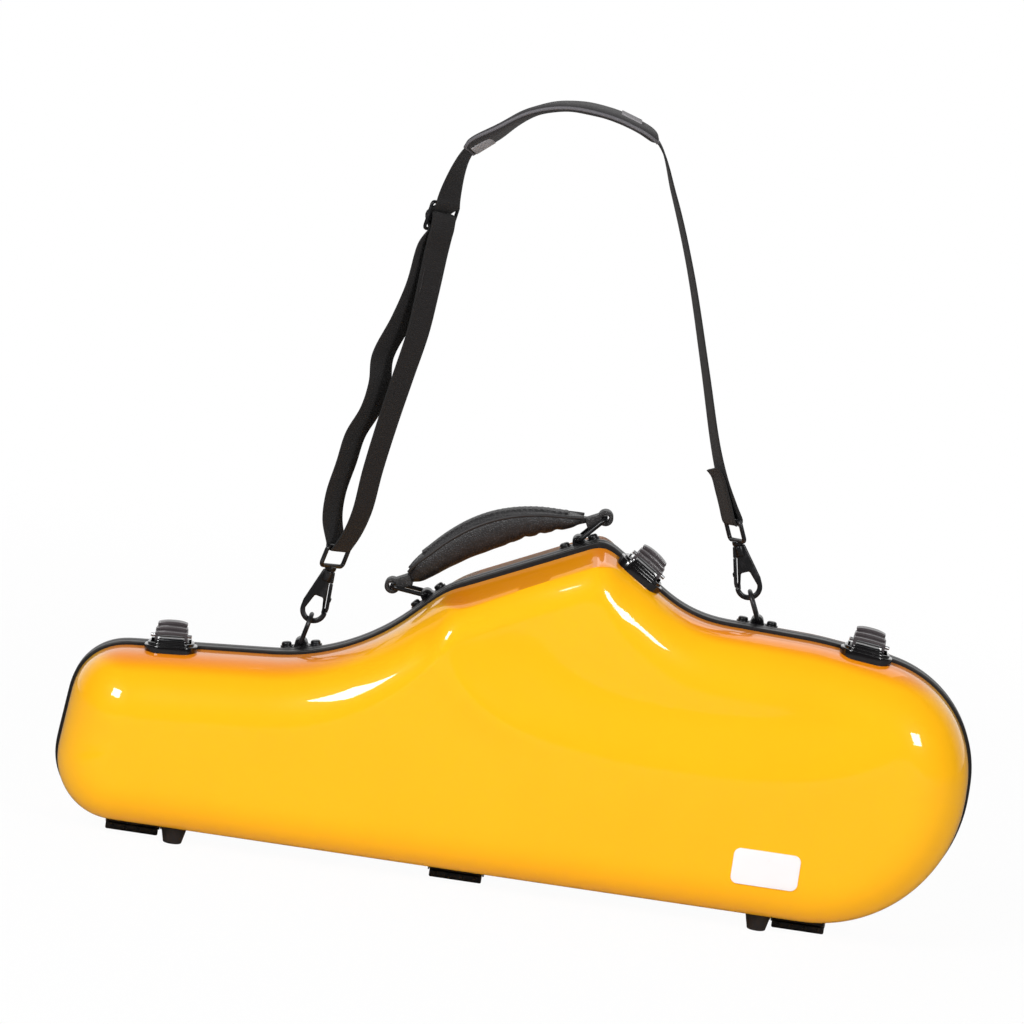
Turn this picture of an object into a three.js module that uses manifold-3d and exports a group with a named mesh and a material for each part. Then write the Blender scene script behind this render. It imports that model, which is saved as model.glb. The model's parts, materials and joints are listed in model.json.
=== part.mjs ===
// An alto saxophone case: a moulded lid and base hinged along the bottom seam, with three draw
// latches, a padded handle on wire links, and a shoulder strap on swivel hooks.
// Millimetres. X runs along the case, Y from the lid to the base, Z up. It stands on four feet.
import * as THREE from "three";
import { mergeVertices } from "three/addons/utils/BufferGeometryUtils.js";
import Module from "manifold-3d";

const wasm = await Module();
wasm.setup();

// Fits shared by all pieces
const gap = 0.3;
const overrun = 2;
const sink = 0.5;

// The case
const shell = {
  span: 650,
  height: 247,
  lidDepth: 66,
  baseDepth: 95,
  wall: 3,
  edgeRadius: 46,
  floorRadius: 34,
  humpRadius: 30,
  humpCrease: THREE.MathUtils.degToRad(35),
  crown: 3,
};
// How far each half leans in over its depth: left of the hump, on it, and right of it
const leanShares = { lid: [0.05, 0.2, 0.05], base: [0.18, 0.09, 0.1] };
const stand = { seamHeight: 9.5 };

// Corners of the seam line: place along the length, place up the height, radius over the height
const seamCornerShares = [
  [-0.507, 0, 0.182],
  [0.503, 0, 0.425],
  [0.5023, 0.7543, 0.332],
  [0.3154, 0.8113, 0.81],
  [0.1725, 0.8231, 0.364],
  [0.066, 1.0081, 0.0526],
  [-0.0985, 0.8016, 0.182],
  [-0.1925, 0.558, 0.62],
  [-0.4877, 0.4951, 0.158],
];
const outlineStep = { turn: THREE.MathUtils.degToRad(18), run: 72 };

// Points inside the seam line that the shell's faces close towards
const spineShares = [
  [-0.405, 0.25],
  [-0.16, 0.25],
  [0.02, 0.3],
  [0.2, 0.36],
  [0.335, 0.4],
];

// The hump over the instrument's bell, along the length
const humpShares = { start: -0.12, end: 0.062, fade: 0.045, floor: 0.6 };

// The bell-shaped hollow pressed into the lid's face
const bell = {
  centreShares: [0.185, 0.825],
  reachShares: [0.289, 0.418],
  power: 2.6,
  relief: 12,
  slopeShare: 0.45,
  lip: 2.5,
  lipShare: 0.08,
};

const trim = { proud: 2, bite: 4.2, half: 8, parting: 0.15, tongue: 1.8, tongueGap: 1, tongueRise: 4 };

const lining = { lidSetback: 10, lidPocket: 30, basePocket: 72, neckPocket: 44 };

// Corners of the pockets, written as the seam's corners are
const bodyPocketShares = [
  [-0.443, 0.1, 0.07],
  [0.455, 0.075, 0.34],
  [0.455, 0.735, 0.24],
  [0.22, 0.755, 0.2],
  [0.062, 0.91, 0.09],
  [-0.062, 0.76, 0.06],
  [0.03, 0.43, 0.1],
  [-0.443, 0.335, 0.07],
];
const neckPocketShares = [
  [-0.455, 0.39, 0.036],
  [-0.17, 0.39, 0.036],
  [-0.12, 0.56, 0.028],
  [-0.44, 0.47, 0.022],
];

const foot = {
  topRadius: 9.5,
  bottomRadius: 6.25,
  sides: 14,
  lidY: -30,
  baseY: 44,
  placeShares: [-0.358, 0.294],
};

const hinge = {
  placeShares: { left: -0.405, middle: -0.043, right: 0.34 },
  span: 38,
  knuckles: 5,
  knuckleRadius: 3,
  pinRadius: 1.4,
  bore: 1.7,
  pinHead: 2.5,
  pinHeadLength: 1.2,
  reach: 22,
  plate: 1.6,
  web: 3.2,
  rivetRadius: 2.4,
  rivetHeight: 0.9,
  rivetSpacing: 24,
  rivetPlace: 15,
  sides: 8,
};

const latch = {
  placeShares: { left: -0.39, middle: 0.1085, right: 0.368 },
  halfWidth: 19,
  front: 28,
  back: 3.2,
  corner: 11,
  plate: 3.4,
  tiers: 3,
  tierRise: 1.9,
  tierInset: 2.3,
  wellHalf: 12.2,
  wellFront: 22.5,
  pivotBack: 18,
  pivotHeight: 10,
  drop: 4.2,
  clawPinFore: 0.3,
  earTop: 12.6,
  earFore: 4,
  pinRadius: 1.3,
  bore: 1.6,
  cheek: 1.8,
  leverHalf: 11.6,
  leverEnd: 3,
  leverHeight: 18.5,
  leverPlate: 2,
  leverArch: 1.6,
  ribs: 3,
  ribRise: 0.9,
  ribShare: 0.2,
  clawHalf: 8.6,
  clawPlate: 1.8,
  clawKnuckle: 1.9,
  hookDrop: 2.3,
  hookThick: 1.8,
  keeperFront: 8.7,
  keeperBack: 20,
  keeperHalf: 11,
  keeperPlate: 1.7,
  keeperSeat: 4.4,
  keeperLipPlace: 10.6,
  keeperLip: 1.6,
  keeperLipTop: 4.1,
  pinSides: 8,
};

// The bracket that holds a handle link or a strap ring: a plate, two rivets and a saddle with a tunnel
const bracket = {
  placeShares: { left: -0.1165, right: 0.0396 },
  anchorShares: { left: -0.2492, right: 0.2465 },
  y: 15,
  span: 30,
  width: 12,
  plate: 1.4,
  seat: 4.4,
  saddleLength: 9,
  saddleHeight: 7.4,
  tunnelHeight: 4,
  tunnelRadius: 1.95,
  rivetRadius: 3.6,
  rivetHeight: 3.2,
  rivetSpacing: 21,
  sides: 10,
};

const wire = { radius: 1.6, sides: 6, cornerSteps: 3, phaseShare: 0.5 };

const handle = {
  linkWidth: 19,
  linkCorner: 4,
  leftLink: 25,
  leftLinkAngle: THREE.MathUtils.degToRad(174),
  rightLink: 25.4,
  rightLinkAngle: THREE.MathUtils.degToRad(47.7),
  lobeRadius: 5.6,
  lobeWidth: 13,
  lobeBore: 2.7,
  neckStart: 13,
  neckHeight: 8,
  gripWidth: 29,
  gripEndWidth: 14,
  gripTop: 27.4,
  stripWidth: 17,
  stripThick: 1.8,
};
// The grip's side view, at places along its length: lower edge and upper edge over gripTop
const gripShares = [
  [0, -0.18, 0.26],
  [0.06, -0.15, 0.46],
  [0.14, -0.08, 0.61],
  [0.26, 0.02, 0.82],
  [0.39, 0.08, 0.965],
  [0.52, 0.11, 1],
  [0.65, 0.13, 0.915],
  [0.78, 0.085, 0.72],
  [0.9, 0.03, 0.445],
  [1, -0.04, 0.22],
];
const stripSpanShares = [0.11, 0.92];

const ring = {
  width: 19,
  legs: 12,
  leftLean: THREE.MathUtils.degToRad(76.7),
  rightLean: THREE.MathUtils.degToRad(114),
};

// Snap hook: heights are measured from the middle of the ring wire that it holds
const hook = {
  thick: 5,
  clearance: 1,
  bar: 4.6,
  windowHalf: 6.2,
  windowHeight: 17,
  barSide: 3.6,
  neckHalf: 4.4,
  top: 34.5,
  gateThick: 2.6,
  gateTop: 26,
  gateFit: 0.4,
  noseHeight: 1.5,
  nub: 3.2,
  nubHeight: 5,
  nubPlaceShare: 0.55,
  post: 2.2,
  postBore: 2.6,
  postDepth: 5,
  boss: 4.1,
  collar: 4.2,
  collarHeight: 3.4,
  eyeWidth: 29.2,
  eyeRise: 15,
  eyeCorner: 3,
  leftAngle: THREE.MathUtils.degToRad(76.5),
  rightAngle: THREE.MathUtils.degToRad(112.2),
  leftTurn: THREE.MathUtils.degToRad(-31),
  rightTurn: THREE.MathUtils.degToRad(21),
};

const strap = {
  width: 25,
  thick: 1.6,
  padWidth: 50,
  padEndShare: 0.66,
  padThick: 7,
  padLeftX: -94.5,
  padLeftZ: 519,
  padRightX: 38,
  padRightZ: 546,
  sliderTurn: THREE.MathUtils.degToRad(-40),
  plyTurn: THREE.MathUtils.degToRad(8),
  topTurn: THREE.MathUtils.degToRad(0),
  padTurn: THREE.MathUtils.degToRad(25),
  padTurnBend: 3,
  foldRadius: 2.9,
  foldSteps: 6,
  sliderPlaceShares: [0.832, 0.012],
  windSteps: 3,
  bendSteps: 4,
  endSteps: 5,
  endTurn: THREE.MathUtils.degToRad(207),
  sliderHalf: 15.8,
  sliderPitch: 10,
  sliderBar: 1.3,
  sliderFit: 0.4,
};

// Routes of the strap's plies: place from the hook's eye to the pad, and the step aside to the left
const rearPlyShares = [
  [0.06, 0.036],
  [0.12, 0.047],
  [0.2, 0.046],
  [0.27, 0.046],
  [0.34, 0.03],
  [0.41, 0.03],
  [0.47, 0.042],
  [0.57, 0.025],
  [0.66, 0.016],
  [0.76, 0.018],
];
const frontPlyShares = [
  [0.04, -0.02],
  [0.1, -0.026],
  [0.2, -0.02],
  [0.32, -0.018],
  [0.44, -0.019],
  [0.55, -0.02],
  [0.65, -0.012],
  [0.75, -0.002],
];
const tailShares = [
  [0.142, 0.026],
  [0.12, 0.016],
  [0.08, 0.013],
  [0.04, 0.011],
];
const rightPlyShares = [
  [0.04, -0.003],
  [0.1, 0.004],
  [0.15, 0.006],
  [0.22, 0.005],
  [0.4, -0.006],
  [0.66, -0.018],
  [0.86, -0.014],
];
// From the pad's right end to its left end
const padShares = [
  [0.15, -0.116],
  [0.32, -0.185],
  [0.49, -0.213],
  [0.66, -0.187],
  [0.83, -0.1],
];

// Finishes
const finish = {
  gelcoat: { color: 0xfdb913, roughness: 0.12, metalness: 0 },
  blackTrim: { color: 0x17161a, roughness: 0.5, metalness: 0 },
  blackMetal: { color: 0x1b1b1e, roughness: 0.32, metalness: 0.85 },
  blackPlastic: { color: 0x141416, roughness: 0.3, metalness: 0 },
  rubber: { color: 0x1a1a1a, roughness: 0.85, metalness: 0 },
  plush: { color: 0x1d1c20, roughness: 0.95, metalness: 0 },
  leather: { color: 0x202024, roughness: 0.5, metalness: 0 },
  webbing: { color: 0x1c1b1d, roughness: 0.9, metalness: 0 },
  steel: { color: 0xb9bcc0, roughness: 0.25, metalness: 1 },
  badge: { color: 0xf4f4f2, roughness: 0.35, metalness: 0 },
};

const badge = { width: 48, height: 26, corner: 5, thick: 0.8, placeShares: [0.292, 0.17] };

// Small helpers
const smooth = (t) => THREE.MathUtils.smoothstep(t, 0, 1);
const mix = THREE.MathUtils.lerp;
const polar = (angle) => new THREE.Vector2(Math.cos(angle), Math.sin(angle));

// A point of the seam plane, from shares of the case's length and height
function casePoint([along, up]) {
  return new THREE.Vector2(along * shell.span, stand.seamHeight + up * shell.height);
}

// Turns every face of a closed mesh outwards, and keeps only its places
function facingOut(geometry) {
  const bare = geometry.clone();
  bare.deleteAttribute("normal");
  bare.deleteAttribute("uv");
  const merged = mergeVertices(bare, 1e-3);
  const index = merged.index.array;
  const place = merged.attributes.position;
  const [a, b, c] = [new THREE.Vector3(), new THREE.Vector3(), new THREE.Vector3()];
  let volume = 0;
  for (let i = 0; i < index.length; i += 3) {
    a.fromBufferAttribute(place, index[i]);
    b.fromBufferAttribute(place, index[i + 1]);
    c.fromBufferAttribute(place, index[i + 2]);
    volume += a.dot(b.cross(c));
  }
  if (volume < 0) {
    for (let i = 0; i < index.length; i += 3) {
      [index[i + 1], index[i + 2]] = [index[i + 2], index[i + 1]];
    }
  }
  return merged;
}

// A geometry as a solid that can be joined and cut
function solid(geometry) {
  const closed = facingOut(geometry);
  const mesh = new wasm.Mesh({
    numProp: 3,
    vertProperties: new Float32Array(closed.attributes.position.array),
    triVerts: new Uint32Array(closed.index.array),
  });
  return new wasm.Manifold(mesh);
}

function join(first, ...others) {
  return others.reduce((all, next) => all.add(solid(next)), solid(first));
}

function geometryOf(manifold) {
  const mesh = manifold.getMesh();
  const geometry = new THREE.BufferGeometry();
  const count = mesh.vertProperties.length / mesh.numProp;
  const places = new Float32Array(count * 3);
  for (let i = 0; i < count; i++) {
    places.set(mesh.vertProperties.subarray(i * mesh.numProp, i * mesh.numProp + 3), i * 3);
  }
  geometry.setAttribute("position", new THREE.BufferAttribute(places, 3));
  geometry.setIndex(new THREE.BufferAttribute(new Uint32Array(mesh.triVerts), 1));
  return geometry;
}

// A box from its lowest to its highest corner
function block(low, high) {
  const size = high.map((value, i) => value - low[i]);
  const middle = high.map((value, i) => (value + low[i]) / 2);
  return new THREE.BoxGeometry(...size).translate(...middle);
}

// A cylinder or cone along one axis, from one place to another
function rod(axis, from, to, radius, sides, endRadius = radius) {
  const geometry = new THREE.CylinderGeometry(endRadius, radius, to - from, sides);
  geometry.translate(0, (from + to) / 2, 0);
  if (axis === "x") geometry.rotateZ(-Math.PI / 2);
  if (axis === "z") geometry.rotateX(Math.PI / 2);
  return geometry;
}

// A flat shape drawn in X and Z, given a thickness along Y
function slabXZ(shape, yFrom, yTo, curveSegments = 8) {
  const options = { depth: yTo - yFrom, bevelEnabled: false, curveSegments };
  const geometry = new THREE.ExtrudeGeometry(shape, options);
  return geometry.rotateX(Math.PI / 2).translate(0, yTo, 0);
}

// A flat shape drawn in X and Y, given a thickness along Z
function slabXY(shape, zFrom, zTo, curveSegments = 8) {
  const options = { depth: zTo - zFrom, bevelEnabled: false, curveSegments };
  const geometry = new THREE.ExtrudeGeometry(shape, options);
  return geometry.translate(0, 0, zFrom);
}

function roundedRectangle(left, bottom, right, top, corner) {
  const shape = new THREE.Shape();
  shape.moveTo(left + corner, bottom);
  shape.lineTo(right - corner, bottom);
  shape.absarc(right - corner, bottom + corner, corner, -Math.PI / 2, 0);
  shape.lineTo(right, top - corner);
  shape.absarc(right - corner, top - corner, corner, 0, Math.PI / 2);
  shape.lineTo(left + corner, top);
  shape.absarc(left + corner, top - corner, corner, Math.PI / 2, Math.PI);
  shape.lineTo(left, bottom + corner);
  shape.absarc(left + corner, bottom + corner, corner, Math.PI, 1.5 * Math.PI);
  return shape;
}

// A skin over rings of matching points, capped at both ends or closed on itself
function loft(rings, endless = false) {
  const count = rings[0].length;
  const places = rings.flat().flatMap((p) => [p.x, p.y, p.z]);
  const index = [];
  const ends = endless ? [] : [0, rings.length - 1];
  for (let r = 0; r + (endless ? 0 : 1) < rings.length; r++) {
    const next = ((r + 1) % rings.length) * count;
    for (let i = 0; i < count; i++) {
      const j = (i + 1) % count;
      index.push(r * count + i, r * count + j, next + j, r * count + i, next + j, next + i);
    }
  }
  for (const r of ends) {
    const faces = capOf(rings[r]);
    for (const face of faces) {
      const turned = r === 0 ? [face[2], face[1], face[0]] : face;
      index.push(...turned.map((i) => r * count + i));
    }
  }
  const geometry = new THREE.BufferGeometry();
  geometry.setAttribute("position", new THREE.BufferAttribute(new Float32Array(places), 3));
  geometry.setIndex(index);
  return geometry;
}

// Triangles that close a ring, turning the way the ring does
function capOf(points) {
  const normal = new THREE.Vector3();
  points.forEach((p, i) => {
    const q = points[(i + 1) % points.length];
    normal.add(new THREE.Vector3().crossVectors(p, q));
  });
  normal.normalize();
  const across = new THREE.Vector3(normal.y, normal.z, normal.x).cross(normal).normalize();
  const up = new THREE.Vector3().crossVectors(normal, across);
  const flat = points.map((p) => new THREE.Vector2(p.dot(across), p.dot(up)));
  return THREE.ShapeUtils.triangulateShape(flat, []);
}

// Stations round a polygon whose corners are rounded: each has its place and its outward normal
function outlineStations(cornerShares, step = outlineStep) {
  const corners = cornerShares.map((share) => ({ at: casePoint(share), radius: share[2] * shell.height }));
  const bends = corners.map((corner, i) => bendAt(corners, corner, i));
  return bends.flatMap((bend, i) => {
    const next = bends[(i + 1) % bends.length];
    return [...bend.arc(step.turn), ...lineBetween(bend, next, step.run)];
  });
}

function bendAt(corners, corner, i) {
  const before = corners[(i + corners.length - 1) % corners.length].at;
  const after = corners[(i + 1) % corners.length].at;
  const incoming = corner.at.clone().sub(before).normalize();
  const outgoing = after.clone().sub(corner.at).normalize();
  const turn = Math.atan2(incoming.cross(outgoing), incoming.dot(outgoing));
  const tangent = corner.radius * Math.tan(Math.abs(turn) / 2);
  const start = corner.at.clone().addScaledVector(incoming, -tangent);
  const end = corner.at.clone().addScaledVector(outgoing, tangent);
  const outward = new THREE.Vector2(incoming.y, -incoming.x);
  const side = Math.sign(turn);
  const centre = start.clone().addScaledVector(outward, -side * corner.radius);
  const arc = (step) => {
    const count = Math.max(1, Math.ceil(Math.abs(turn) / step));
    return Array.from({ length: count + 1 }, (_, k) => {
      const normal = outward.clone().rotateAround(new THREE.Vector2(), (turn * k) / count);
      return { at: centre.clone().addScaledVector(normal, side * corner.radius), normal };
    });
  };
  return { start, end, arc, outward: new THREE.Vector2(outgoing.y, -outgoing.x) };
}

function lineBetween(bend, next, run) {
  const count = Math.ceil(bend.end.distanceTo(next.start) / run);
  return Array.from({ length: count - 1 }, (_, k) => ({
    at: bend.end.clone().lerp(next.start, (k + 1) / count),
    normal: bend.outward,
  }));
}

const seam = outlineStations(seamCornerShares);

// The seam's highest place at one place along the case, and the slope there
function seamTop(x) {
  for (let i = 0; i < seam.length; i++) {
    const [p, q] = [seam[i].at, seam[(i + 1) % seam.length].at];
    if (q.x < p.x && x <= p.x && x > q.x) {
      const slope = Math.atan2(p.y - q.y, p.x - q.x);
      return { z: mix(p.y, q.y, (p.x - x) / (p.x - q.x)), slope };
    }
  }
  throw new Error("the seam has no top there");
}

// How far inside the bell's rim line a place of the lid is: 0 on the line, 1 at the bell's middle
function bellInside(x, z) {
  const centre = casePoint(bell.centreShares);
  const aside = Math.abs(x - centre.x) / (bell.reachShares[0] * shell.span);
  const below = Math.max(0, centre.y - z) / (bell.reachShares[1] * shell.height);
  return 1 - Math.pow(Math.pow(aside, bell.power) + Math.pow(below, bell.power), 1 / bell.power);
}

function crownDrop(x, z) {
  const along = x / (shell.span / 2);
  const up = (z - stand.seamHeight - shell.height / 2) / (shell.height / 2);
  return (shell.crown * (along * along + up * up)) / 2;
}

function lidRelief(x, z) {
  const inside = bellInside(x, z);
  const leftward = smooth(-x / (humpShares.end * shell.span) / 2 + 0.5);
  const lip = bell.lip * leftward * Math.exp(-Math.pow(inside / bell.lipShare, 2));
  return bell.relief * smooth(inside / bell.slopeShare) - lip + crownDrop(x, z);
}

const lid = { side: -1, depth: shell.lidDepth, relief: lidRelief, leanShares: leanShares.lid };
const base = { side: 1, depth: shell.baseDepth, relief: crownDrop, leanShares: leanShares.base };

// How much a station belongs to the hump, whose edge is tighter and steeper
function humpShareAt({ at }) {
  const along = at.x / shell.span;
  const up = (at.y - stand.seamHeight) / shell.height;
  if (up < humpShares.floor) return 0;
  const rise = smooth((along - humpShares.start) / humpShares.fade);
  return rise * (1 - smooth((along - humpShares.end) / humpShares.fade));
}

// The spine point that a station's section runs towards
function spinePoint({ at }) {
  const points = spineShares.map(casePoint);
  const x = THREE.MathUtils.clamp(at.x, points[0].x, points[points.length - 1].x);
  const i = Math.max(1, points.findIndex((p) => p.x >= x));
  return points[i - 1].clone().lerp(points[i], (x - points[i - 1].x) / (points[i].x - points[i - 1].x));
}

const roundSteps = 4;
const faceShares = [0.22, 0.45, 0.7, 0.96];

// One section of a half, from the seam to near the spine: places on the seam plane with their depth
function halfSection(half, station, inset, faceDepth) {
  const spine = spinePoint(station);
  const inward = spine.clone().sub(station.at);
  const length = inward.length();
  inward.normalize();
  const hump = humpShareAt(station);
  const round = mix(shell.edgeRadius, shell.floorRadius, Math.max(0, -station.normal.y));
  const radius = mix(round, shell.humpRadius, hump);
  const crease = shell.humpCrease * hump;
  const [leftLean, humpLean, rightLean] = half.leanShares;
  const lean = mix(mix(leftLean, rightLean, smooth(station.at.x / shell.span + 0.5)), humpLean, hump);
  const wallDepth = half.depth - radius * (1 - Math.sin(crease));
  const start = inset / Math.max(0.5, -inward.dot(station.normal));
  const across = (e) => station.at.clone().addScaledVector(inward, e);
  const reach = lean * wallDepth + radius * Math.cos(crease);
  const shift = across(reach);
  const drop = half.relief(shift.x, shift.y);
  const stretch = (half.depth - drop) / half.depth;
  const section = [];
  for (let k = 0; k <= roundSteps; k++) {
    const turn = mix(crease, Math.PI / 2, k / roundSteps);
    const e = lean * wallDepth + radius * (Math.cos(crease) - Math.cos(turn));
    const depth = (half.depth - radius * (1 - Math.sin(turn))) * stretch - inset * Math.sin(turn);
    section.push({ at: across(e + start * (1 - k / roundSteps)), depth });
  }
  const seamShare = faceDepth / section[0].depth;
  section.unshift({ at: across(start + lean * wallDepth * seamShare), depth: faceDepth });
  for (const share of faceShares) {
    const at = across(mix(reach, length, share));
    section.push({ at, depth: half.depth - half.relief(at.x, at.y) - inset });
  }
  return section;
}

// One half of the case as a full body, inset all round, open from faceDepth behind the seam plane
function halfBody(half, inset, faceDepth) {
  const sections = seam.map((station) => halfSection(half, station, inset, faceDepth));
  const rings = sections[0].map((_, r) => sections.map((section) => {
    const { at, depth } = section[r];
    return new THREE.Vector3(at.x, half.side * depth, at.y);
  }));
  return loft(rings);
}

// Everything stands in one group, moved at the end so that the origin is below its middle
const assembly = new THREE.Group();

// Adds one named piece, from a geometry or a solid, to a group
function addPiece(name, piece, look, parent = assembly) {
  const geometry = piece.isBufferGeometry ? facingOut(piece) : geometryOf(piece);
  geometry.computeVertexNormals();
  const mesh = new THREE.Mesh(geometry, new THREE.MeshStandardMaterial(look));
  mesh.name = name;
  parent.add(mesh);
  return mesh;
}

const lidSkin = halfBody(lid, -gap, trim.half);
const baseSkin = halfBody(base, -gap, trim.half);

// Cuts a piece in its own frame by a body given in the case's frame
function cutBy(piece, body, frame) {
  return piece.subtract(solid(body.clone().applyMatrix4(frame.clone().invert())));
}

// The frame at one place on top of the seam: X along the seam, Y to the base, Z outwards
function seamFrame(share, y = 0) {
  const x = share * shell.span;
  const { z, slope } = seamTop(x);
  return new THREE.Matrix4().makeRotationY(-slope).setPosition(x, y, z);
}

function groupAt(frame) {
  const group = new THREE.Group();
  frame.decompose(group.position, group.quaternion, group.scale);
  assembly.add(group);
  return group;
}

// The moulded halves
function addShells() {
  const edge = trim.half + gap;
  for (const [name, half] of [["front_shell", lid], ["rear_shell", base]]) {
    const inside = halfBody(half, shell.wall, 0);
    addPiece(name, solid(halfBody(half, 0, edge)).subtract(solid(inside)), finish.gelcoat);
  }
}

// A flat ring along the seam, between two steps out from it
function seamRing(inner, outer, yFrom, yTo) {
  const loop = (step) => seam.map(({ at, normal }) => at.clone().addScaledVector(normal, step));
  const shape = new THREE.Shape(loop(outer));
  shape.holes.push(new THREE.Path(loop(inner).reverse()));
  return slabXZ(shape, yFrom, yTo);
}

function addTrims() {
  addPiece("front_seam_trim", seamRing(-trim.bite, trim.proud, -trim.half, -trim.parting), finish.blackTrim);
  const tongueOut = -trim.bite - trim.tongueGap;
  const tongueIn = tongueOut - trim.tongue;
  const band = seamRing(tongueIn, trim.proud, trim.parting, trim.half);
  const tongue = seamRing(tongueIn, tongueOut, -trim.tongueRise, trim.parting + sink);
  addPiece("rear_seam_trim", join(band, tongue), finish.blackTrim);
}

// A pocket with rounded corners, cut to a depth from the seam plane
function pocket(half, cornerShares, depth) {
  const shape = new THREE.Shape(outlineStations(cornerShares).map(({ at }) => at));
  const [near, far] = [-overrun, depth].map((value) => half.side * value).sort((a, b) => a - b);
  return solid(slabXZ(shape, near, far));
}

// The room inside a half, less the wall, from a setback behind the seam plane
function liningBody(half, setback) {
  const span = [setback, 2 * half.depth].map((value) => half.side * value).sort((a, b) => a - b);
  const behind = block([-shell.span, span[0], 0], [shell.span, span[1], 2 * shell.height]);
  return solid(halfBody(half, shell.wall + gap, 0)).intersect(solid(behind));
}

function addLinings() {
  const lidPad = liningBody(lid, lining.lidSetback);
  addPiece("front_lining", lidPad.subtract(pocket(lid, bodyPocketShares, lining.lidPocket)), finish.plush);
  const basePad = liningBody(base, trim.half + gap);
  const body = pocket(base, bodyPocketShares, lining.basePocket);
  const neck = pocket(base, neckPocketShares, lining.neckPocket);
  addPiece("rear_lining", basePad.subtract(body).subtract(neck), finish.plush);
}

function addFeet() {
  const sides = [["front", foot.lidY, lidSkin], ["rear", foot.baseY, baseSkin]];
  for (const [half, y, skin] of sides) {
    ["left", "right"].forEach((hand, i) => {
      const x = foot.placeShares[i] * shell.span;
      const height = stand.seamHeight + foot.topRadius;
      const cone = rod("z", 0, height, foot.bottomRadius, foot.sides, foot.topRadius).translate(x, y, 0);
      addPiece(half + "_foot_" + hand, solid(cone).subtract(solid(skin)), finish.rubber);
    });
  }
}

// Hinges: two leaves with meshing knuckles round one pin, under the seam's bottom line
function hingeAxisHeight() {
  return stand.seamHeight - trim.proud - gap - hinge.knuckleRadius;
}

function hingeLeaf(side, x, skin) {
  const z = hingeAxisHeight();
  const pitch = hinge.span / hinge.knuckles;
  const left = x - hinge.span / 2;
  const plateTop = stand.seamHeight - trim.proud - gap;
  const plateBottom = plateTop - hinge.plate;
  const near = hinge.knuckleRadius + 2 * gap;
  const seat = trim.half + 2 * gap;
  const [plateSpan, seatSpan] = [near, seat].map((value) => {
    return [side * value, side * hinge.reach].sort((a, b) => a - b);
  });
  const plate = block([left, plateSpan[0], plateBottom], [left + hinge.span, plateSpan[1], plateTop]);
  const right = left + hinge.span;
  const pad = block([left, seatSpan[0], plateBottom], [right, seatSpan[1], plateTop + trim.half]);
  let leaf = join(plate, pad).subtract(solid(skin));
  const first = side < 0 ? 1 : 0;
  for (let k = first; k < hinge.knuckles; k += 2) {
    const from = left + k * pitch + gap / 2;
    const to = left + (k + 1) * pitch - gap / 2;
    const webSpan = [sink, near + hinge.web].map((value) => side * value).sort((a, b) => a - b);
    const web = block([from, webSpan[0], z], [to, webSpan[1], plateBottom + sink]);
    const barrel = rod("x", from, to, hinge.knuckleRadius, hinge.sides).translate(0, 0, z);
    leaf = leaf.add(solid(web)).add(solid(barrel));
  }
  for (const hand of [-1, 1]) {
    const at = [x + (hand * hinge.rivetSpacing) / 2, side * hinge.rivetPlace, 0];
    const [low, high] = [plateBottom - hinge.rivetHeight, plateBottom + sink];
    const rivet = rod("z", low, high, hinge.rivetRadius, hinge.sides);
    leaf = leaf.add(solid(rivet.translate(...at)));
  }
  const bore = rod("x", left - overrun, right + overrun, hinge.bore, hinge.sides);
  return leaf.subtract(solid(bore.translate(0, 0, z)));
}

function addHinges() {
  for (const [place, share] of Object.entries(hinge.placeShares)) {
    const x = share * shell.span;
    addPiece("hinge_" + place + "_rear_leaf", hingeLeaf(1, x, baseSkin), finish.blackMetal);
    addPiece("hinge_" + place + "_front_leaf", hingeLeaf(-1, x, lidSkin), finish.blackMetal);
    const end = hinge.span / 2 + gap;
    const pin = rod("x", -end - sink, end + sink, hinge.pinRadius, hinge.sides);
    const heads = [-1, 1].map((hand) => {
      const near = hand * end;
      const far = hand * (end + hinge.pinHeadLength);
      return rod("x", Math.min(near, far), Math.max(near, far), hinge.pinHead, hinge.sides);
    });
    const made = join(pin, ...heads);
    const mesh = addPiece("hinge_" + place + "_pin", made, finish.steel);
    mesh.position.set(x, 0, hingeAxisHeight());
  }
}

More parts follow.
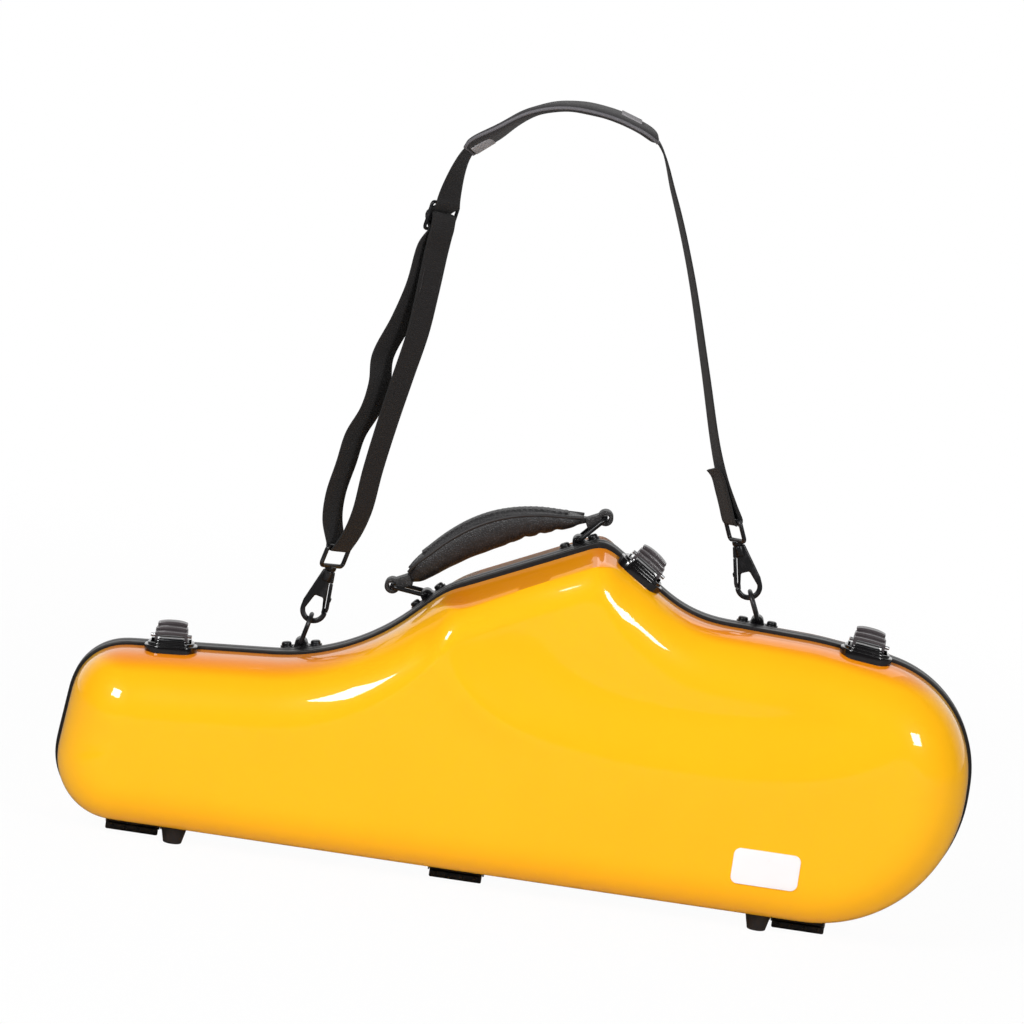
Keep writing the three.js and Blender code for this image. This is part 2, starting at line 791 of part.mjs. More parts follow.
// Latches, each drawn in its own frame on the seam: X along it, Y to the base, Z outwards
function latchBase(frame) {
  const low = -overrun;
  let made = null;
  for (let k = 0; k <= latch.tiers; k++) {
    const inset = k * latch.tierInset;
    const corner = latch.corner - inset;
    const half = latch.halfWidth - inset;
    const shape = roundedRectangle(-half, -latch.front + inset, half, -latch.back, corner);
    const top = k === 0 ? latch.plate : latch.plate + k * latch.tierRise;
    const tier = solid(slabXY(shape, low, top, 4));
    made = made ? made.add(tier) : tier;
  }
  const earOuter = latch.halfWidth - 2 * latch.tierInset + gap;
  const earBack = -latch.pivotBack + latch.earFore;
  const earFront = -latch.pivotBack - latch.earFore;
  const ears = block([-earOuter, earFront, latch.plate - sink], [earOuter, earBack, latch.earTop]);
  made = made.add(solid(ears));
  const cheekReach = latch.clawKnuckle + gap;
  const wellFloor = latch.pivotHeight - Math.hypot(cheekReach, latch.drop + cheekReach) - gap;
  const well = block([-latch.wellHalf, -latch.wellFront, wellFloor], [latch.wellHalf, 0, latch.leverHeight]);
  const bore = rod("x", -earOuter - overrun, earOuter + overrun, latch.bore, latch.pinSides);
  bore.translate(0, -latch.pivotBack, latch.pivotHeight);
  const channelHalf = latch.clawHalf + gap;
  const channelFront = -latch.pivotBack - latch.clawKnuckle - gap * 2;
  const channelFloor = latch.pivotHeight - latch.drop - latch.clawKnuckle - gap;
  const channel = block([-channelHalf, channelFront, channelFloor], [channelHalf, 0, latch.plate + overrun]);
  made = made.subtract(solid(well)).subtract(solid(bore)).subtract(solid(channel));
  made = cutBy(made, lidSkin, frame);
  return cutBy(made, seamRing(-trim.bite, trim.proud + gap, -trim.half - gap, 0), frame);
}

function latchLever() {
  const pivot = [-latch.pivotBack, latch.pivotHeight];
  const front = pivot[0] - latch.clawKnuckle;
  const rise = latch.leverHeight - latch.pivotHeight - latch.leverPlate;
  const run = latch.pivotBack - latch.leverEnd;
  const slope = rise / run;
  const upper = (y) => latch.pivotHeight + latch.leverPlate + slope * (y - pivot[0]);
  const plate = loft([front, mix(front, -latch.leverEnd, 0.5), -latch.leverEnd].map((y, i) => {
    const half = latch.leverHalf;
    const z = upper(y);
    const arch = i * latch.leverArch / 2;
    return [
      [-half, z - latch.leverPlate],
      [half, z - latch.leverPlate],
      [half, z],
      [half / 2, z + arch],
      [-half / 2, z + arch],
      [-half, z],
    ].map(([x, height]) => new THREE.Vector3(x, y, height));
  }));
  const pieces = [plate];
  const ribLength = run * latch.ribShare;
  for (let k = 0; k < latch.ribs; k++) {
    const from = mix(front, -latch.leverEnd, (k + 0.5) / (latch.ribs + 0.4));
    const half = latch.leverHalf - latch.cheek;
    const section = [
      [from, upper(from) - sink],
      [from + ribLength, upper(from + ribLength) - sink],
      [from + ribLength, upper(from + ribLength) + latch.ribRise + latch.leverArch / 2],
      [from, upper(from) + latch.ribRise],
    ];
    pieces.push(loft([-half, half].map((x) => section.map(([y, z]) => new THREE.Vector3(x, y, z)))));
  }
  const clawPin = clawPinPlace();
  for (const hand of [-1, 1]) {
    const [inner, outer] = [latch.leverHalf - latch.cheek, latch.leverHalf].map((value) => hand * value);
    const reach = latch.clawKnuckle + gap;
    const outline = [
      [pivot[0] - reach, clawPin[1] - reach],
      [pivot[0] + reach, clawPin[1] - reach],
      [pivot[0] + 3 * reach, pivot[1]],
      [pivot[0] + 3 * reach, upper(pivot[0] + 3 * reach) - sink],
      [pivot[0] - reach, upper(pivot[0] - reach) - sink],
    ];
    pieces.push(loft([inner, outer].map((x) => outline.map(([y, z]) => new THREE.Vector3(x, y, z)))));
  }
  const holes = [pivot, clawPin].map(([y, z]) => {
    const hole = rod("x", -latch.leverHalf - overrun, latch.leverHalf + overrun, latch.bore, latch.pinSides);
    return solid(hole.translate(0, y, z));
  });
  return holes.reduce((made, hole) => made.subtract(hole), join(...pieces));
}

// The claw's own pin, just past the line through the lever's pivot, so that a shut latch stays shut
function clawPinPlace() {
  return [-latch.pivotBack + latch.clawPinFore, latch.pivotHeight - latch.drop];
}

function latchClaw() {
  const [y, z] = clawPinPlace();
  const lip = latch.keeperLipPlace + latch.keeperLip + gap;
  const bottom = z - latch.clawPlate / 2;
  const top = z + latch.clawPlate / 2;
  const half = latch.clawHalf;
  const end = lip + latch.hookThick;
  const arm = block([-half, y, bottom], [half, end, top]);
  const hookEnd = block([-half, lip, bottom - latch.hookDrop], [half, end, top]);
  const knuckle = rod("x", -half, half, latch.clawKnuckle, latch.pinSides).translate(0, y, z);
  const pinEnd = latch.leverHalf;
  const pin = rod("x", -pinEnd, pinEnd, latch.pinRadius, latch.pinSides).translate(0, y, z);
  return join(arm, hookEnd, knuckle, pin);
}

function latchKeeper(frame) {
  const [half, from, to] = [latch.keeperHalf, latch.keeperFront, latch.keeperBack];
  const shape = roundedRectangle(-half, from, half, to, overrun);
  const plate = slabXY(shape, -latch.keeperSeat, latch.keeperPlate, 3);
  const lipTo = latch.keeperLipPlace + latch.keeperLip;
  const lipHalf = latch.clawHalf - sink;
  const lip = block([-lipHalf, latch.keeperLipPlace, 0], [lipHalf, lipTo, latch.keeperLipTop]);
  return cutBy(join(plate, lip), baseSkin, frame);
}

function latchPin() {
  const end = latch.halfWidth - 2 * latch.tierInset + gap;
  const pin = rod("x", -end, end, latch.pinRadius, latch.pinSides);
  return pin.translate(0, -latch.pivotBack, latch.pivotHeight);
}

function addLatches() {
  for (const [place, share] of Object.entries(latch.placeShares)) {
    const frame = seamFrame(share);
    const group = groupAt(frame);
    addPiece("latch_" + place + "_base", latchBase(frame), finish.blackPlastic, group);
    addPiece("latch_" + place + "_lever", latchLever(), finish.blackPlastic, group);
    addPiece("latch_" + place + "_claw", latchClaw(), finish.blackMetal, group);
    addPiece("latch_" + place + "_pin", latchPin(), finish.steel, group);
    addPiece("latch_" + place + "_keeper", latchKeeper(frame), finish.blackMetal, group);
  }
}

// Brackets of the handle and the strap, each drawn in its own frame on the base's top
function bracketBody(frame) {
  const half = bracket.span / 2;
  const across = bracket.width / 2;
  const shape = roundedRectangle(-half, -across, half, across, across - sink);
  const plate = slabXY(shape, -bracket.seat, bracket.plate, 4);
  const saddle = new THREE.Shape();
  const saddleHalf = bracket.saddleLength / 2;
  const shoulder = bracket.saddleHeight - saddleHalf;
  saddle.moveTo(-saddleHalf, -sink);
  saddle.lineTo(saddleHalf, -sink);
  saddle.lineTo(saddleHalf, shoulder);
  saddle.absarc(0, shoulder, saddleHalf, 0, Math.PI);
  const pieces = [plate, slabXZ(saddle, -across, across, 5)];
  for (const hand of [-1, 1]) {
    const dome = rod("z", -sink, bracket.plate + bracket.rivetHeight / 2, bracket.rivetRadius, bracket.sides);
    const cap = rod(
      "z", bracket.plate + bracket.rivetHeight / 2, bracket.plate + bracket.rivetHeight,
      bracket.rivetRadius, bracket.sides, bracket.rivetRadius / 2,
    );
    const x = (hand * bracket.rivetSpacing) / 2;
    pieces.push(dome.translate(x, 0, 0), cap.translate(x, 0, 0));
  }
  const tunnel = rod("y", -bracket.width, bracket.width, bracket.tunnelRadius, bracket.sides);
  const made = join(...pieces).subtract(solid(tunnel.translate(0, 0, bracket.tunnelHeight)));
  return cutBy(made, baseSkin, frame);
}

// The middle of a bracket's tunnel, in the case's frame
function tunnelPlace(share) {
  return new THREE.Vector3(0, 0, bracket.tunnelHeight).applyMatrix4(seamFrame(share, bracket.y));
}

function addBrackets() {
  for (const hand of ["left", "right"]) {
    const places = { handle_bracket: bracket.placeShares[hand], strap_anchor: bracket.anchorShares[hand] };
    for (const [name, share] of Object.entries(places)) {
      const frame = seamFrame(share, bracket.y);
      addPiece(name + "_" + hand, bracketBody(frame), finish.blackMetal, groupAt(frame));
    }
  }
}

// A closed wire loop in Y and Z: its right half is given from bottom to top, and its left half mirrors it
function wireLoop(half) {
  const mirrored = half.slice().reverse().map((p) => new THREE.Vector2(-p.x, p.y));
  const points = [...half, ...mirrored];
  return loft(points.map((p, i) => {
    const before = points[(i + points.length - 1) % points.length];
    const after = points[(i + 1) % points.length];
    const along = after.clone().sub(p).normalize().add(p.clone().sub(before).normalize()).normalize();
    return Array.from({ length: wire.sides }, (_, k) => {
      const turn = polar(((k + wire.phaseShare) * 2 * Math.PI) / wire.sides).multiplyScalar(wire.radius);
      return new THREE.Vector3(turn.x, p.x - along.y * turn.y, p.y + along.x * turn.y);
    });
  }), true);
}

// Points of an arc in Y and Z
function arcPoints(centre, radius, from, to, steps) {
  return Array.from({ length: steps + 1 }, (_, k) => {
    return polar(mix(from, to, k / steps)).multiplyScalar(radius).add(centre);
  });
}

// A rectangular loop from the origin up to a height, with round corners
function rectangleLoop(width, height, corner) {
  const low = new THREE.Vector2(width / 2 - corner, corner);
  const high = new THREE.Vector2(width / 2 - corner, height - corner);
  const steps = wire.cornerSteps;
  return wireLoop([
    ...arcPoints(low, corner, -Math.PI / 2, 0, steps),
    ...arcPoints(high, corner, 0, Math.PI / 2, steps),
  ]);
}

// A loop with a flat bar through the origin, two legs and a half circle on top
function dLoop(width, legs) {
  const half = width / 2;
  const corner = wire.radius * 2;
  const low = new THREE.Vector2(half - corner, corner);
  return wireLoop([
    ...arcPoints(low, corner, -Math.PI / 2, 0, wire.cornerSteps),
    ...arcPoints(new THREE.Vector2(0, legs), half, 0, Math.PI / 2, 2 * wire.cornerSteps).slice(0, -1),
    new THREE.Vector2(gap, legs + half),
  ]);
}

// A group at a place, whose Z points along a direction in the seam's plane
function leaningGroup(place, angle) {
  const group = new THREE.Group();
  group.position.copy(place);
  group.rotation.y = Math.PI / 2 - angle;
  assembly.add(group);
  return group;
}

function handlePlaces() {
  const left = tunnelPlace(bracket.placeShares.left);
  const right = tunnelPlace(bracket.placeShares.right);
  const leftTurn = polar(handle.leftLinkAngle).multiplyScalar(handle.leftLink);
  const rightTurn = polar(handle.rightLinkAngle).multiplyScalar(handle.rightLink);
  const from = left.clone().add(new THREE.Vector3(leftTurn.x, 0, leftTurn.y));
  const to = right.clone().add(new THREE.Vector3(rightTurn.x, 0, rightTurn.y));
  return { left, right, from, to };
}

function lobe(length) {
  const shape = new THREE.Shape();
  const neck = handle.neckHeight / 2;
  const meet = Math.sqrt(handle.lobeRadius ** 2 - neck ** 2);
  const angle = Math.atan2(neck, meet);
  shape.moveTo(length, -neck);
  shape.lineTo(length, neck);
  shape.lineTo(meet, neck);
  shape.absarc(0, 0, handle.lobeRadius, angle, 2 * Math.PI - angle);
  const hole = new THREE.Path();
  hole.absarc(0, 0, handle.lobeBore, 0, 2 * Math.PI, true);
  shape.holes.push(hole);
  return slabXZ(shape, -handle.lobeWidth / 2, handle.lobeWidth / 2, 6);
}

// The padded grip, drawn with X from lobe to lobe: an arched top over a belly, drawn in at the seam
function gripBody(length) {
  const rings = gripShares.map(([share, lower, upper]) => {
    const x = mix(handle.neckStart, length - handle.neckStart, share);
    const full = Math.sqrt(Math.max(0, 1 - Math.pow(2 * share - 1, 4)));
    const half = mix(handle.gripEndWidth, handle.gripWidth, full) / 2;
    const [low, high] = [lower * handle.gripTop, upper * handle.gripTop];
    const section = [
      [0, 1],
      [0.62, 0.95],
      [0.92, 0.82],
      [0.84, 0.74],
      [1, 0.6],
      [0.95, 0.34],
      [0.66, 0.1],
      [0, 0],
    ];
    const mirrored = section.slice(1, -1).reverse().map(([y, z]) => [-y, z]);
    return [...section, ...mirrored].map(([y, z]) => new THREE.Vector3(x, y * half, mix(low, high, z)));
  });
  return loft(rings);
}

// The height of the grip's top at a share of its length
function gripTopAt(share) {
  const i = Math.max(1, gripShares.findIndex(([place]) => place >= share));
  const [a, b] = [gripShares[i - 1], gripShares[i]];
  return mix(a[2], b[2], (share - a[0]) / (b[0] - a[0])) * handle.gripTop;
}

function gripStrip(length) {
  const [start, end] = stripSpanShares;
  const inner = gripShares.map(([place]) => place).filter((place) => place > start && place < end);
  const shares = [start, ...inner, end];
  const half = handle.stripWidth / 2;
  return loft(shares.map((share) => {
    const x = mix(handle.neckStart, length - handle.neckStart, share);
    const low = gripTopAt(share) + gap;
    const high = low + handle.stripThick;
    const corners = [[-half, low], [half, low], [half, high], [-half, high]];
    return corners.map(([y, z]) => new THREE.Vector3(x, y, z));
  }));
}

function addHandle() {
  const { left, right, from, to } = handlePlaces();
  const links = [["left", left, from, handle.leftLink], ["right", right, to, handle.rightLink]];
  for (const [hand, start, end, length] of links) {
    const angle = Math.atan2(end.z - start.z, end.x - start.x);
    const group = leaningGroup(start, angle);
    const loop = rectangleLoop(handle.linkWidth, length, handle.linkCorner);
    addPiece("handle_link_" + hand, loop, finish.blackMetal, group);
  }
  const length = from.distanceTo(to);
  const slope = Math.atan2(to.z - from.z, to.x - from.x);
  const group = new THREE.Group();
  group.position.copy(from);
  group.rotation.y = -slope;
  assembly.add(group);
  const neck = handle.neckStart - gap;
  addPiece("handle_lobe_left", lobe(neck), finish.leather, group);
  const far = addPiece("handle_lobe_right", lobe(neck), finish.leather, group);
  far.position.x = length;
  far.rotation.y = Math.PI;
  addPiece("handle_grip", gripBody(length), finish.leather, group);
  addPiece("handle_stitched_strip", gripStrip(length), finish.leather, group);
}

// Strap rings: each leans over its anchor's tunnel
function ringTop(place, lean) {
  const reach = polar(lean).multiplyScalar(ring.legs + ring.width / 2);
  return place.clone().add(new THREE.Vector3(reach.x, 0, reach.y));
}

// Snap hooks, drawn with Z up from the ring's wire to the webbing, and the gate to the inside
function hookOutline() {
  const low = -wire.radius - hook.clearance;
  const middle = low + hook.windowHalf;
  const outer = hook.windowHalf + hook.barSide;
  const shoulder = middle + hook.bar;
  const shape = new THREE.Shape();
  shape.moveTo(-hook.neckHalf, hook.top);
  shape.lineTo(-outer, shoulder);
  shape.absarc(0, middle, outer, Math.PI, 2 * Math.PI);
  shape.lineTo(outer, shoulder);
  shape.lineTo(hook.neckHalf, hook.top);
  const window = new THREE.Path();
  const windowTop = low + hook.windowHeight;
  window.moveTo(-hook.windowHalf, middle);
  window.lineTo(-hook.windowHalf / 2, windowTop);
  window.lineTo(hook.windowHalf / 2, windowTop);
  window.lineTo(hook.windowHalf, middle);
  window.absarc(0, middle, hook.windowHalf, 0, -Math.PI, true);
  shape.holes.push(window);
  return shape;
}

// How far out the hook's side is at a height above its round end
function hookSide(z) {
  const shoulder = -wire.radius - hook.clearance + hook.windowHalf + hook.bar;
  const share = Math.max(0, (z - shoulder) / (hook.top - shoulder));
  return mix(hook.windowHalf + hook.barSide, hook.neckHalf, share);
}

// The gate's outline in the hook's side, grown by a margin inwards and by another outwards
function gateOutline(margin, outwards) {
  const low = -wire.radius - hook.clearance + hook.windowHalf + hook.noseHeight;
  const shoulder = low - hook.noseHeight + hook.bar;
  const thick = hook.gateThick + margin;
  const heights = [low - margin, shoulder, hook.gateTop + margin];
  const inner = heights.map((z) => new THREE.Vector2(thick - hookSide(z), z));
  const outer = heights.map((z) => new THREE.Vector2(-outwards - hookSide(z), z)).reverse();
  return new THREE.Shape([...inner, ...outer]);
}

function hookBody() {
  const half = hook.thick / 2;
  const body = solid(slabXZ(hookOutline(), -half, half, 6));
  const slot = solid(slabXZ(gateOutline(hook.gateFit, overrun), -half - overrun, half + overrun));
  const bore = rod("z", hook.top - hook.postDepth, hook.top + overrun, hook.postBore, bracket.sides);
  const boss = rod("z", hook.gateTop + 2 * hook.gateFit, hook.top, hook.boss, bracket.sides);
  return body.subtract(slot).add(solid(boss)).subtract(solid(bore));
}

function hookGate() {
  const half = hook.thick / 2 - sink;
  const bar = slabXZ(gateOutline(0, 0), -half, half);
  const z = mix(0, hook.gateTop, hook.nubPlaceShare);
  const x = -hookSide(z);
  const nub = new THREE.Shape();
  nub.moveTo(x + hook.gateThick / 2, z - hook.nubHeight / 2);
  nub.lineTo(x - hook.nub + hook.gateThick, z - hook.nubHeight / 4);
  nub.lineTo(x - hook.nub + hook.gateThick, z + hook.nubHeight / 4);
  nub.lineTo(x + hook.gateThick / 2, z + hook.nubHeight / 2);
  return join(bar, slabXZ(nub, -half, half));
}

// The eye: a post that turns in the hook's top, a collar and the loop that the webbing goes through
function hookEye() {
  const collarFrom = hook.top + gap;
  const collarTo = collarFrom + hook.collarHeight;
  const post = rod("z", hook.top - hook.postDepth + gap, collarFrom + sink, hook.post, bracket.sides);
  const collar = rod("z", collarFrom, collarTo, hook.collar, bracket.sides);
  const loop = rectangleLoop(hook.eyeWidth, hook.eyeRise, hook.eyeCorner).translate(0, 0, collarTo);
  return join(post, collar, loop);
}

function eyeBarHeight() {
  return hook.top + gap + hook.collarHeight + hook.eyeRise;
}

function hookPlaces() {
  const places = {};
  for (const hand of ["left", "right"]) {
    const anchor = tunnelPlace(bracket.anchorShares[hand]);
    const lean = hand === "left" ? ring.leftLean : ring.rightLean;
    const angle = hand === "left" ? hook.leftAngle : hook.rightAngle;
    const top = ringTop(anchor, lean);
    const bar = polar(angle).multiplyScalar(eyeBarHeight());
    const turn = hand === "left" ? hook.leftTurn : hook.rightTurn;
    places[hand] = { anchor, lean, angle, turn, top, eye: new THREE.Vector2(top.x + bar.x, top.z + bar.y) };
  }
  return places;
}

function addHooks() {
  const places = hookPlaces();
  for (const hand of ["left", "right"]) {
    const { anchor, lean, angle, turn, top } = places[hand];
    const loop = dLoop(ring.width, ring.legs);
    addPiece("strap_ring_" + hand, loop, finish.blackMetal, leaningGroup(anchor, lean));
    const group = leaningGroup(top, angle);
    if (hand === "left") group.rotateZ(Math.PI);
    addPiece("hook_" + hand + "_body", hookBody(), finish.blackMetal, group);
    addPiece("hook_" + hand + "_gate", hookGate(), finish.blackMetal, group);
    const eyeGroup = leaningGroup(top, angle);
    eyeGroup.rotateZ(turn);
    addPiece("hook_" + hand + "_eye", hookEye(), finish.blackMetal, eyeGroup);
  }
}

// Stations of the webbing: each has its place and the direction that its width takes
function station(at, wide) {
  return { at, wide };
}

// The width's direction where webbing runs along a line of the seam's plane, turned out of Y by an angle
function widthAlong(run, turn) {
  const right = new THREE.Vector3(run.y, 0, -run.x).normalize();
  return new THREE.Vector3(0, Math.cos(turn), 0).addScaledVector(right, -Math.sin(turn));
}

// Stations along points of the seam's plane, while the turn goes from one angle to another: a bend over 1
// keeps the first angle for longer
function plyStations(points, turnFrom, turnTo, bend = 1) {
  return points.map((p, i) => {
    const run = points[Math.min(points.length - 1, i + 1)].clone().sub(points[Math.max(0, i - 1)]);
    const turn = mix(turnFrom, turnTo, Math.pow(i / Math.max(1, points.length - 1), bend));
    return station(new THREE.Vector3(p.x, bracket.y, p.y), widthAlong(run, turn));
  });
}

// Stations half round an eye's bar, from its left side under it to its right side
function foldStations({ eye, angle, turn }) {
  const up = new THREE.Vector3(Math.cos(angle), 0, Math.sin(angle));
  const wide = widthAlong(polar(angle), turn);
  const right = new THREE.Vector3().crossVectors(wide, up);
  const middle = new THREE.Vector3(eye.x, bracket.y, eye.y);
  return Array.from({ length: strap.foldSteps + 1 }, (_, k) => {
    const round = polar(Math.PI * (1 - k / strap.foldSteps)).multiplyScalar(strap.foldRadius);
    return station(middle.clone().addScaledVector(right, round.x).addScaledVector(up, -round.y), wide);
  });
}

// Adds to each station the direction of the webbing's thickness
function withDepth(stations) {
  return stations.map(({ at, wide }, i) => {
    const before = stations[Math.max(0, i - 1)].at;
    const after = stations[Math.min(stations.length - 1, i + 1)].at;
    return { at, wide, deep: new THREE.Vector3().crossVectors(wide, after.clone().sub(before)).normalize() };
  });
}

// A skin along stations: the section's points are shares of the half width and the half thickness
function bandLoft(stations, section, halfWidthAt, halfThick) {
  return loft(stations.map(({ at, wide, deep }, i) => {
    const half = halfWidthAt(i / (stations.length - 1));
    return section.map(([a, b]) => {
      return at.clone().addScaledVector(wide, a * half).addScaledVector(deep, b * halfThick);
    });
  }));
}

const flatSection = [[-1, -1], [1, -1], [1, 1], [-1, 1]];
const padSection = [
  [-1, -0.3],
  [-0.62, -1],
  [0.62, -1],
  [1, -0.3],
  [1, 0.3],
  [0.62, 1],
  [-0.62, 1],
  [-1, 0.3],
];

// Points of a route given as shares of the straight line from one end to the other
function routeBetween(from, to, shares) {
  const run = to.clone().sub(from);
  const left = new THREE.Vector2(-run.y, run.x);
  return shares.map(([along, aside]) => {
    return from.clone().addScaledVector(run, along).addScaledVector(left, aside);
  });
}

// The slider's frame: X across the webbing's thickness to the right, Y along its width, Z up the strap
function sliderFrame(eye, padLeft) {
  const [centre] = routeBetween(eye, padLeft, [strap.sliderPlaceShares]);
  const run = padLeft.clone().sub(eye).normalize();
  const wide = widthAlong(run, strap.sliderTurn);
  const up = new THREE.Vector3(run.x, 0, run.y);
  const across = new THREE.Vector3().crossVectors(wide, up);
  return new THREE.Matrix4().makeBasis(across, wide, up).setPosition(centre.x, bracket.y, centre.y);
}

function sliderBody() {
  const { sliderHalf, sliderPitch, sliderBar } = strap;
  const bars = [-1, 0, 1].map((k) => {
    return rod("y", -sliderHalf, sliderHalf, sliderBar, wire.sides).translate(0, 0, k * sliderPitch);
  });
  const rails = [-1, 1].map((hand) => {
    const [from, to] = [hand * (sliderHalf - 2 * sliderBar), hand * sliderHalf].sort((a, b) => a - b);
    return block([-sliderBar + gap, from, -sliderPitch], [sliderBar - gap, to, sliderPitch]);
  });
  return join(...bars, ...rails);
}

// Where the long ply winds past the slider's bars, and where the short ply ends round the middle bar
function sliderRoutes() {
  const near = strap.sliderBar + strap.sliderFit + strap.thick / 2;
  const far = near + strap.thick + strap.sliderFit;
  const cross = Math.asin((near + far) / strap.sliderPitch);
  const slant = Math.asin((far - near) / strap.sliderPitch);
  const round = (bar, radius, from, to, steps) => {
    return arcPoints(new THREE.Vector2(0, bar * strap.sliderPitch), radius, from, to, steps);
  };
  const long = [
    ...round(1, near, cross, -cross, strap.windSteps),
    ...round(0, far, Math.PI - cross, Math.PI + cross, strap.bendSteps),
    ...round(-1, near, cross, -cross, strap.windSteps),
  ];
  const turned = round(0, near, slant, strap.endTurn, strap.endSteps);
  const short = [...round(-1, far, -slant, slant, 1), ...turned];
  return { long, short };
}

function addStrap() {
  const places = hookPlaces();
  const padLeft = new THREE.Vector2(strap.padLeftX, strap.padLeftZ);
  const padRight = new THREE.Vector2(strap.padRightX, strap.padRightZ);
  const frame = sliderFrame(places.left.eye, padLeft);
  const sliderWide = new THREE.Vector3().setFromMatrixColumn(frame, 1);
  const atSlider = ({ x, y }) => station(new THREE.Vector3(x, 0, y).applyMatrix4(frame), sliderWide);
  const routes = sliderRoutes();
  const left = (shares, flip) => {
    const points = routeBetween(places.left.eye, padLeft, shares);
    const [low, high] = [hook.leftTurn, strap.sliderTurn];
    return flip ? plyStations(points.reverse(), -high, -low) : plyStations(points, low, high);
  };
  const right = (shares) => routeBetween(places.right.eye, padRight, shares);
  const eyeTurn = hook.rightTurn;
  const over = plyStations(
    [padRight, ...routeBetween(padRight, padLeft, padShares), padLeft],
    strap.topTurn, strap.padTurn, strap.padTurnBend,
  );
  const rise = [
    ...plyStations(right(tailShares), -eyeTurn, -eyeTurn),
    ...foldStations(places.right),
    ...plyStations(right(rightPlyShares), eyeTurn, strap.plyTurn),
  ];
  const stations = withDepth([
    ...rise,
    ...over,
    ...routes.long.map(atSlider),
    ...left(rearPlyShares, true),
    ...foldStations(places.left),
    ...left(frontPlyShares, false),
    ...routes.short.map(atSlider),
  ]);
  const half = () => strap.width / 2;
  addPiece("strap_webbing", bandLoft(stations, flatSection, half, strap.thick / 2), finish.webbing);
  addPiece("strap_slider", sliderBody(), finish.blackMetal, groupAt(frame));
  const padHalf = (share) => (strap.padWidth / 2) * mix(1, strap.padEndShare, Math.pow(2 * share - 1, 6));
  const through = stations.slice(rise.length - 1, rise.length + over.length + 1);
  const sleeve = solid(bandLoft(through, flatSection, () => half() + gap, strap.thick / 2 + gap));
  const pad = solid(bandLoft(through.slice(1, -1), padSection, padHalf, strap.padThick / 2));
  addPiece("shoulder_pad", pad.subtract(sleeve), finish.webbing);
}

function addBadge() {
  const centre = casePoint(badge.placeShares);
  const shape = roundedRectangle(
    centre.x - badge.width / 2, centre.y - badge.height / 2,
    centre.x + badge.width / 2, centre.y + badge.height / 2, badge.corner,
  );
  const prism = solid(slabXZ(shape, -shell.lidDepth - overrun, -shell.lidDepth / 2, 4));
  const outer = solid(halfBody(lid, -gap - badge.thick, trim.half));
  addPiece("badge_plate", prism.intersect(outer).subtract(solid(lidSkin)), finish.badge);
}

addShells();
addTrims();
addLinings();
addFeet();
addHinges();
addLatches();
addBrackets();
addHandle();
addHooks();
addStrap();
addBadge();

// The origin goes below the middle of everything, on the ground
const whole = new THREE.Group();
const box = new THREE.Box3().setFromObject(assembly);
assembly.position.set(-(box.min.x + box.max.x) / 2, -(box.min.y + box.max.y) / 2, -box.min.z);
whole.add(assembly);

export default whole;
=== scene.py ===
"""The looks of a moulded alto saxophone case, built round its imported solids.

Sizes are in millimetres, in the case's own frame: X along the case, Y from the lid to the
base, Z up from the floor, with the seam plane at Y zero. Meshes are written in metres.
"""

import json
import logging
import math
from dataclasses import dataclass, field
from enum import Enum
from typing import Any, Callable, Dict, Iterable, List, Optional, Sequence, Tuple

import bmesh
import bpy
import numpy as np
from mathutils import Matrix, Vector
from mathutils.geometry import delaunay_2d_cdt

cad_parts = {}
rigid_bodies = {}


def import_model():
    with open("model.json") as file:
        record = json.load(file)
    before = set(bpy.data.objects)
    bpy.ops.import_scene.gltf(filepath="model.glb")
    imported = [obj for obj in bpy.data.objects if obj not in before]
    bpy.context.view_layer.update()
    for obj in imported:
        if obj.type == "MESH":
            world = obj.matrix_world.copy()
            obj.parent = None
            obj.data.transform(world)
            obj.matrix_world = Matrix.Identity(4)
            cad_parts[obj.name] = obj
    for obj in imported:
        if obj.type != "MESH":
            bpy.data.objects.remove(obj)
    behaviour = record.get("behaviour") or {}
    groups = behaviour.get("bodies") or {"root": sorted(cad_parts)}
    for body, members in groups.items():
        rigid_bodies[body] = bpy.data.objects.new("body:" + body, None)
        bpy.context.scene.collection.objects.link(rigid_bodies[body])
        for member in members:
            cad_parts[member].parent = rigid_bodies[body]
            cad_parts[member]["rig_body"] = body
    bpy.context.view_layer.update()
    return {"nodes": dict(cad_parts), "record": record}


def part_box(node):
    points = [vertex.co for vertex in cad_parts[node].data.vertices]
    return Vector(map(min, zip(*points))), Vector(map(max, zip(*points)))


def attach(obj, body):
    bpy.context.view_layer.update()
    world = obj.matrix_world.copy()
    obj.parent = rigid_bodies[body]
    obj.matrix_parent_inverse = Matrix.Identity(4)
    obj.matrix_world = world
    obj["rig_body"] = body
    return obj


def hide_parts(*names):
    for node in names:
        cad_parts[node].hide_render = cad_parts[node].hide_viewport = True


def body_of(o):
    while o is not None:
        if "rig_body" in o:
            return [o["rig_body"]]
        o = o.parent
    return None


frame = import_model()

LOG = logging.getLogger("case")
MM = 0.001
HANDS = ("left", "right")
OVER = 1.0  # how far cutters reach past a piece

Piece = bpy.types.Object
Points = np.ndarray
Corner = Tuple[float, float, float]


def named(**values: Any) -> Any:
    """A dataclass field that holds a table of named values."""
    return field(default_factory=lambda: dict(values))


# Sizes of the case


@dataclass(frozen=True)
class CaseSizes:
    """The sizes of the moulded halves that every other piece is placed by."""

    length: float = 650.0
    height: float = 247.0
    seam_height: float = 9.5
    edge_radius: float = 46.0
    floor_radius: float = 34.0
    hump_radius: float = 30.0
    hump_crease: float = math.radians(35.0)
    crown: float = 3.0
    wall: float = 3.0
    trim_half: float = 8.0
    trim_proud: float = 2.0
    gap: float = 0.3


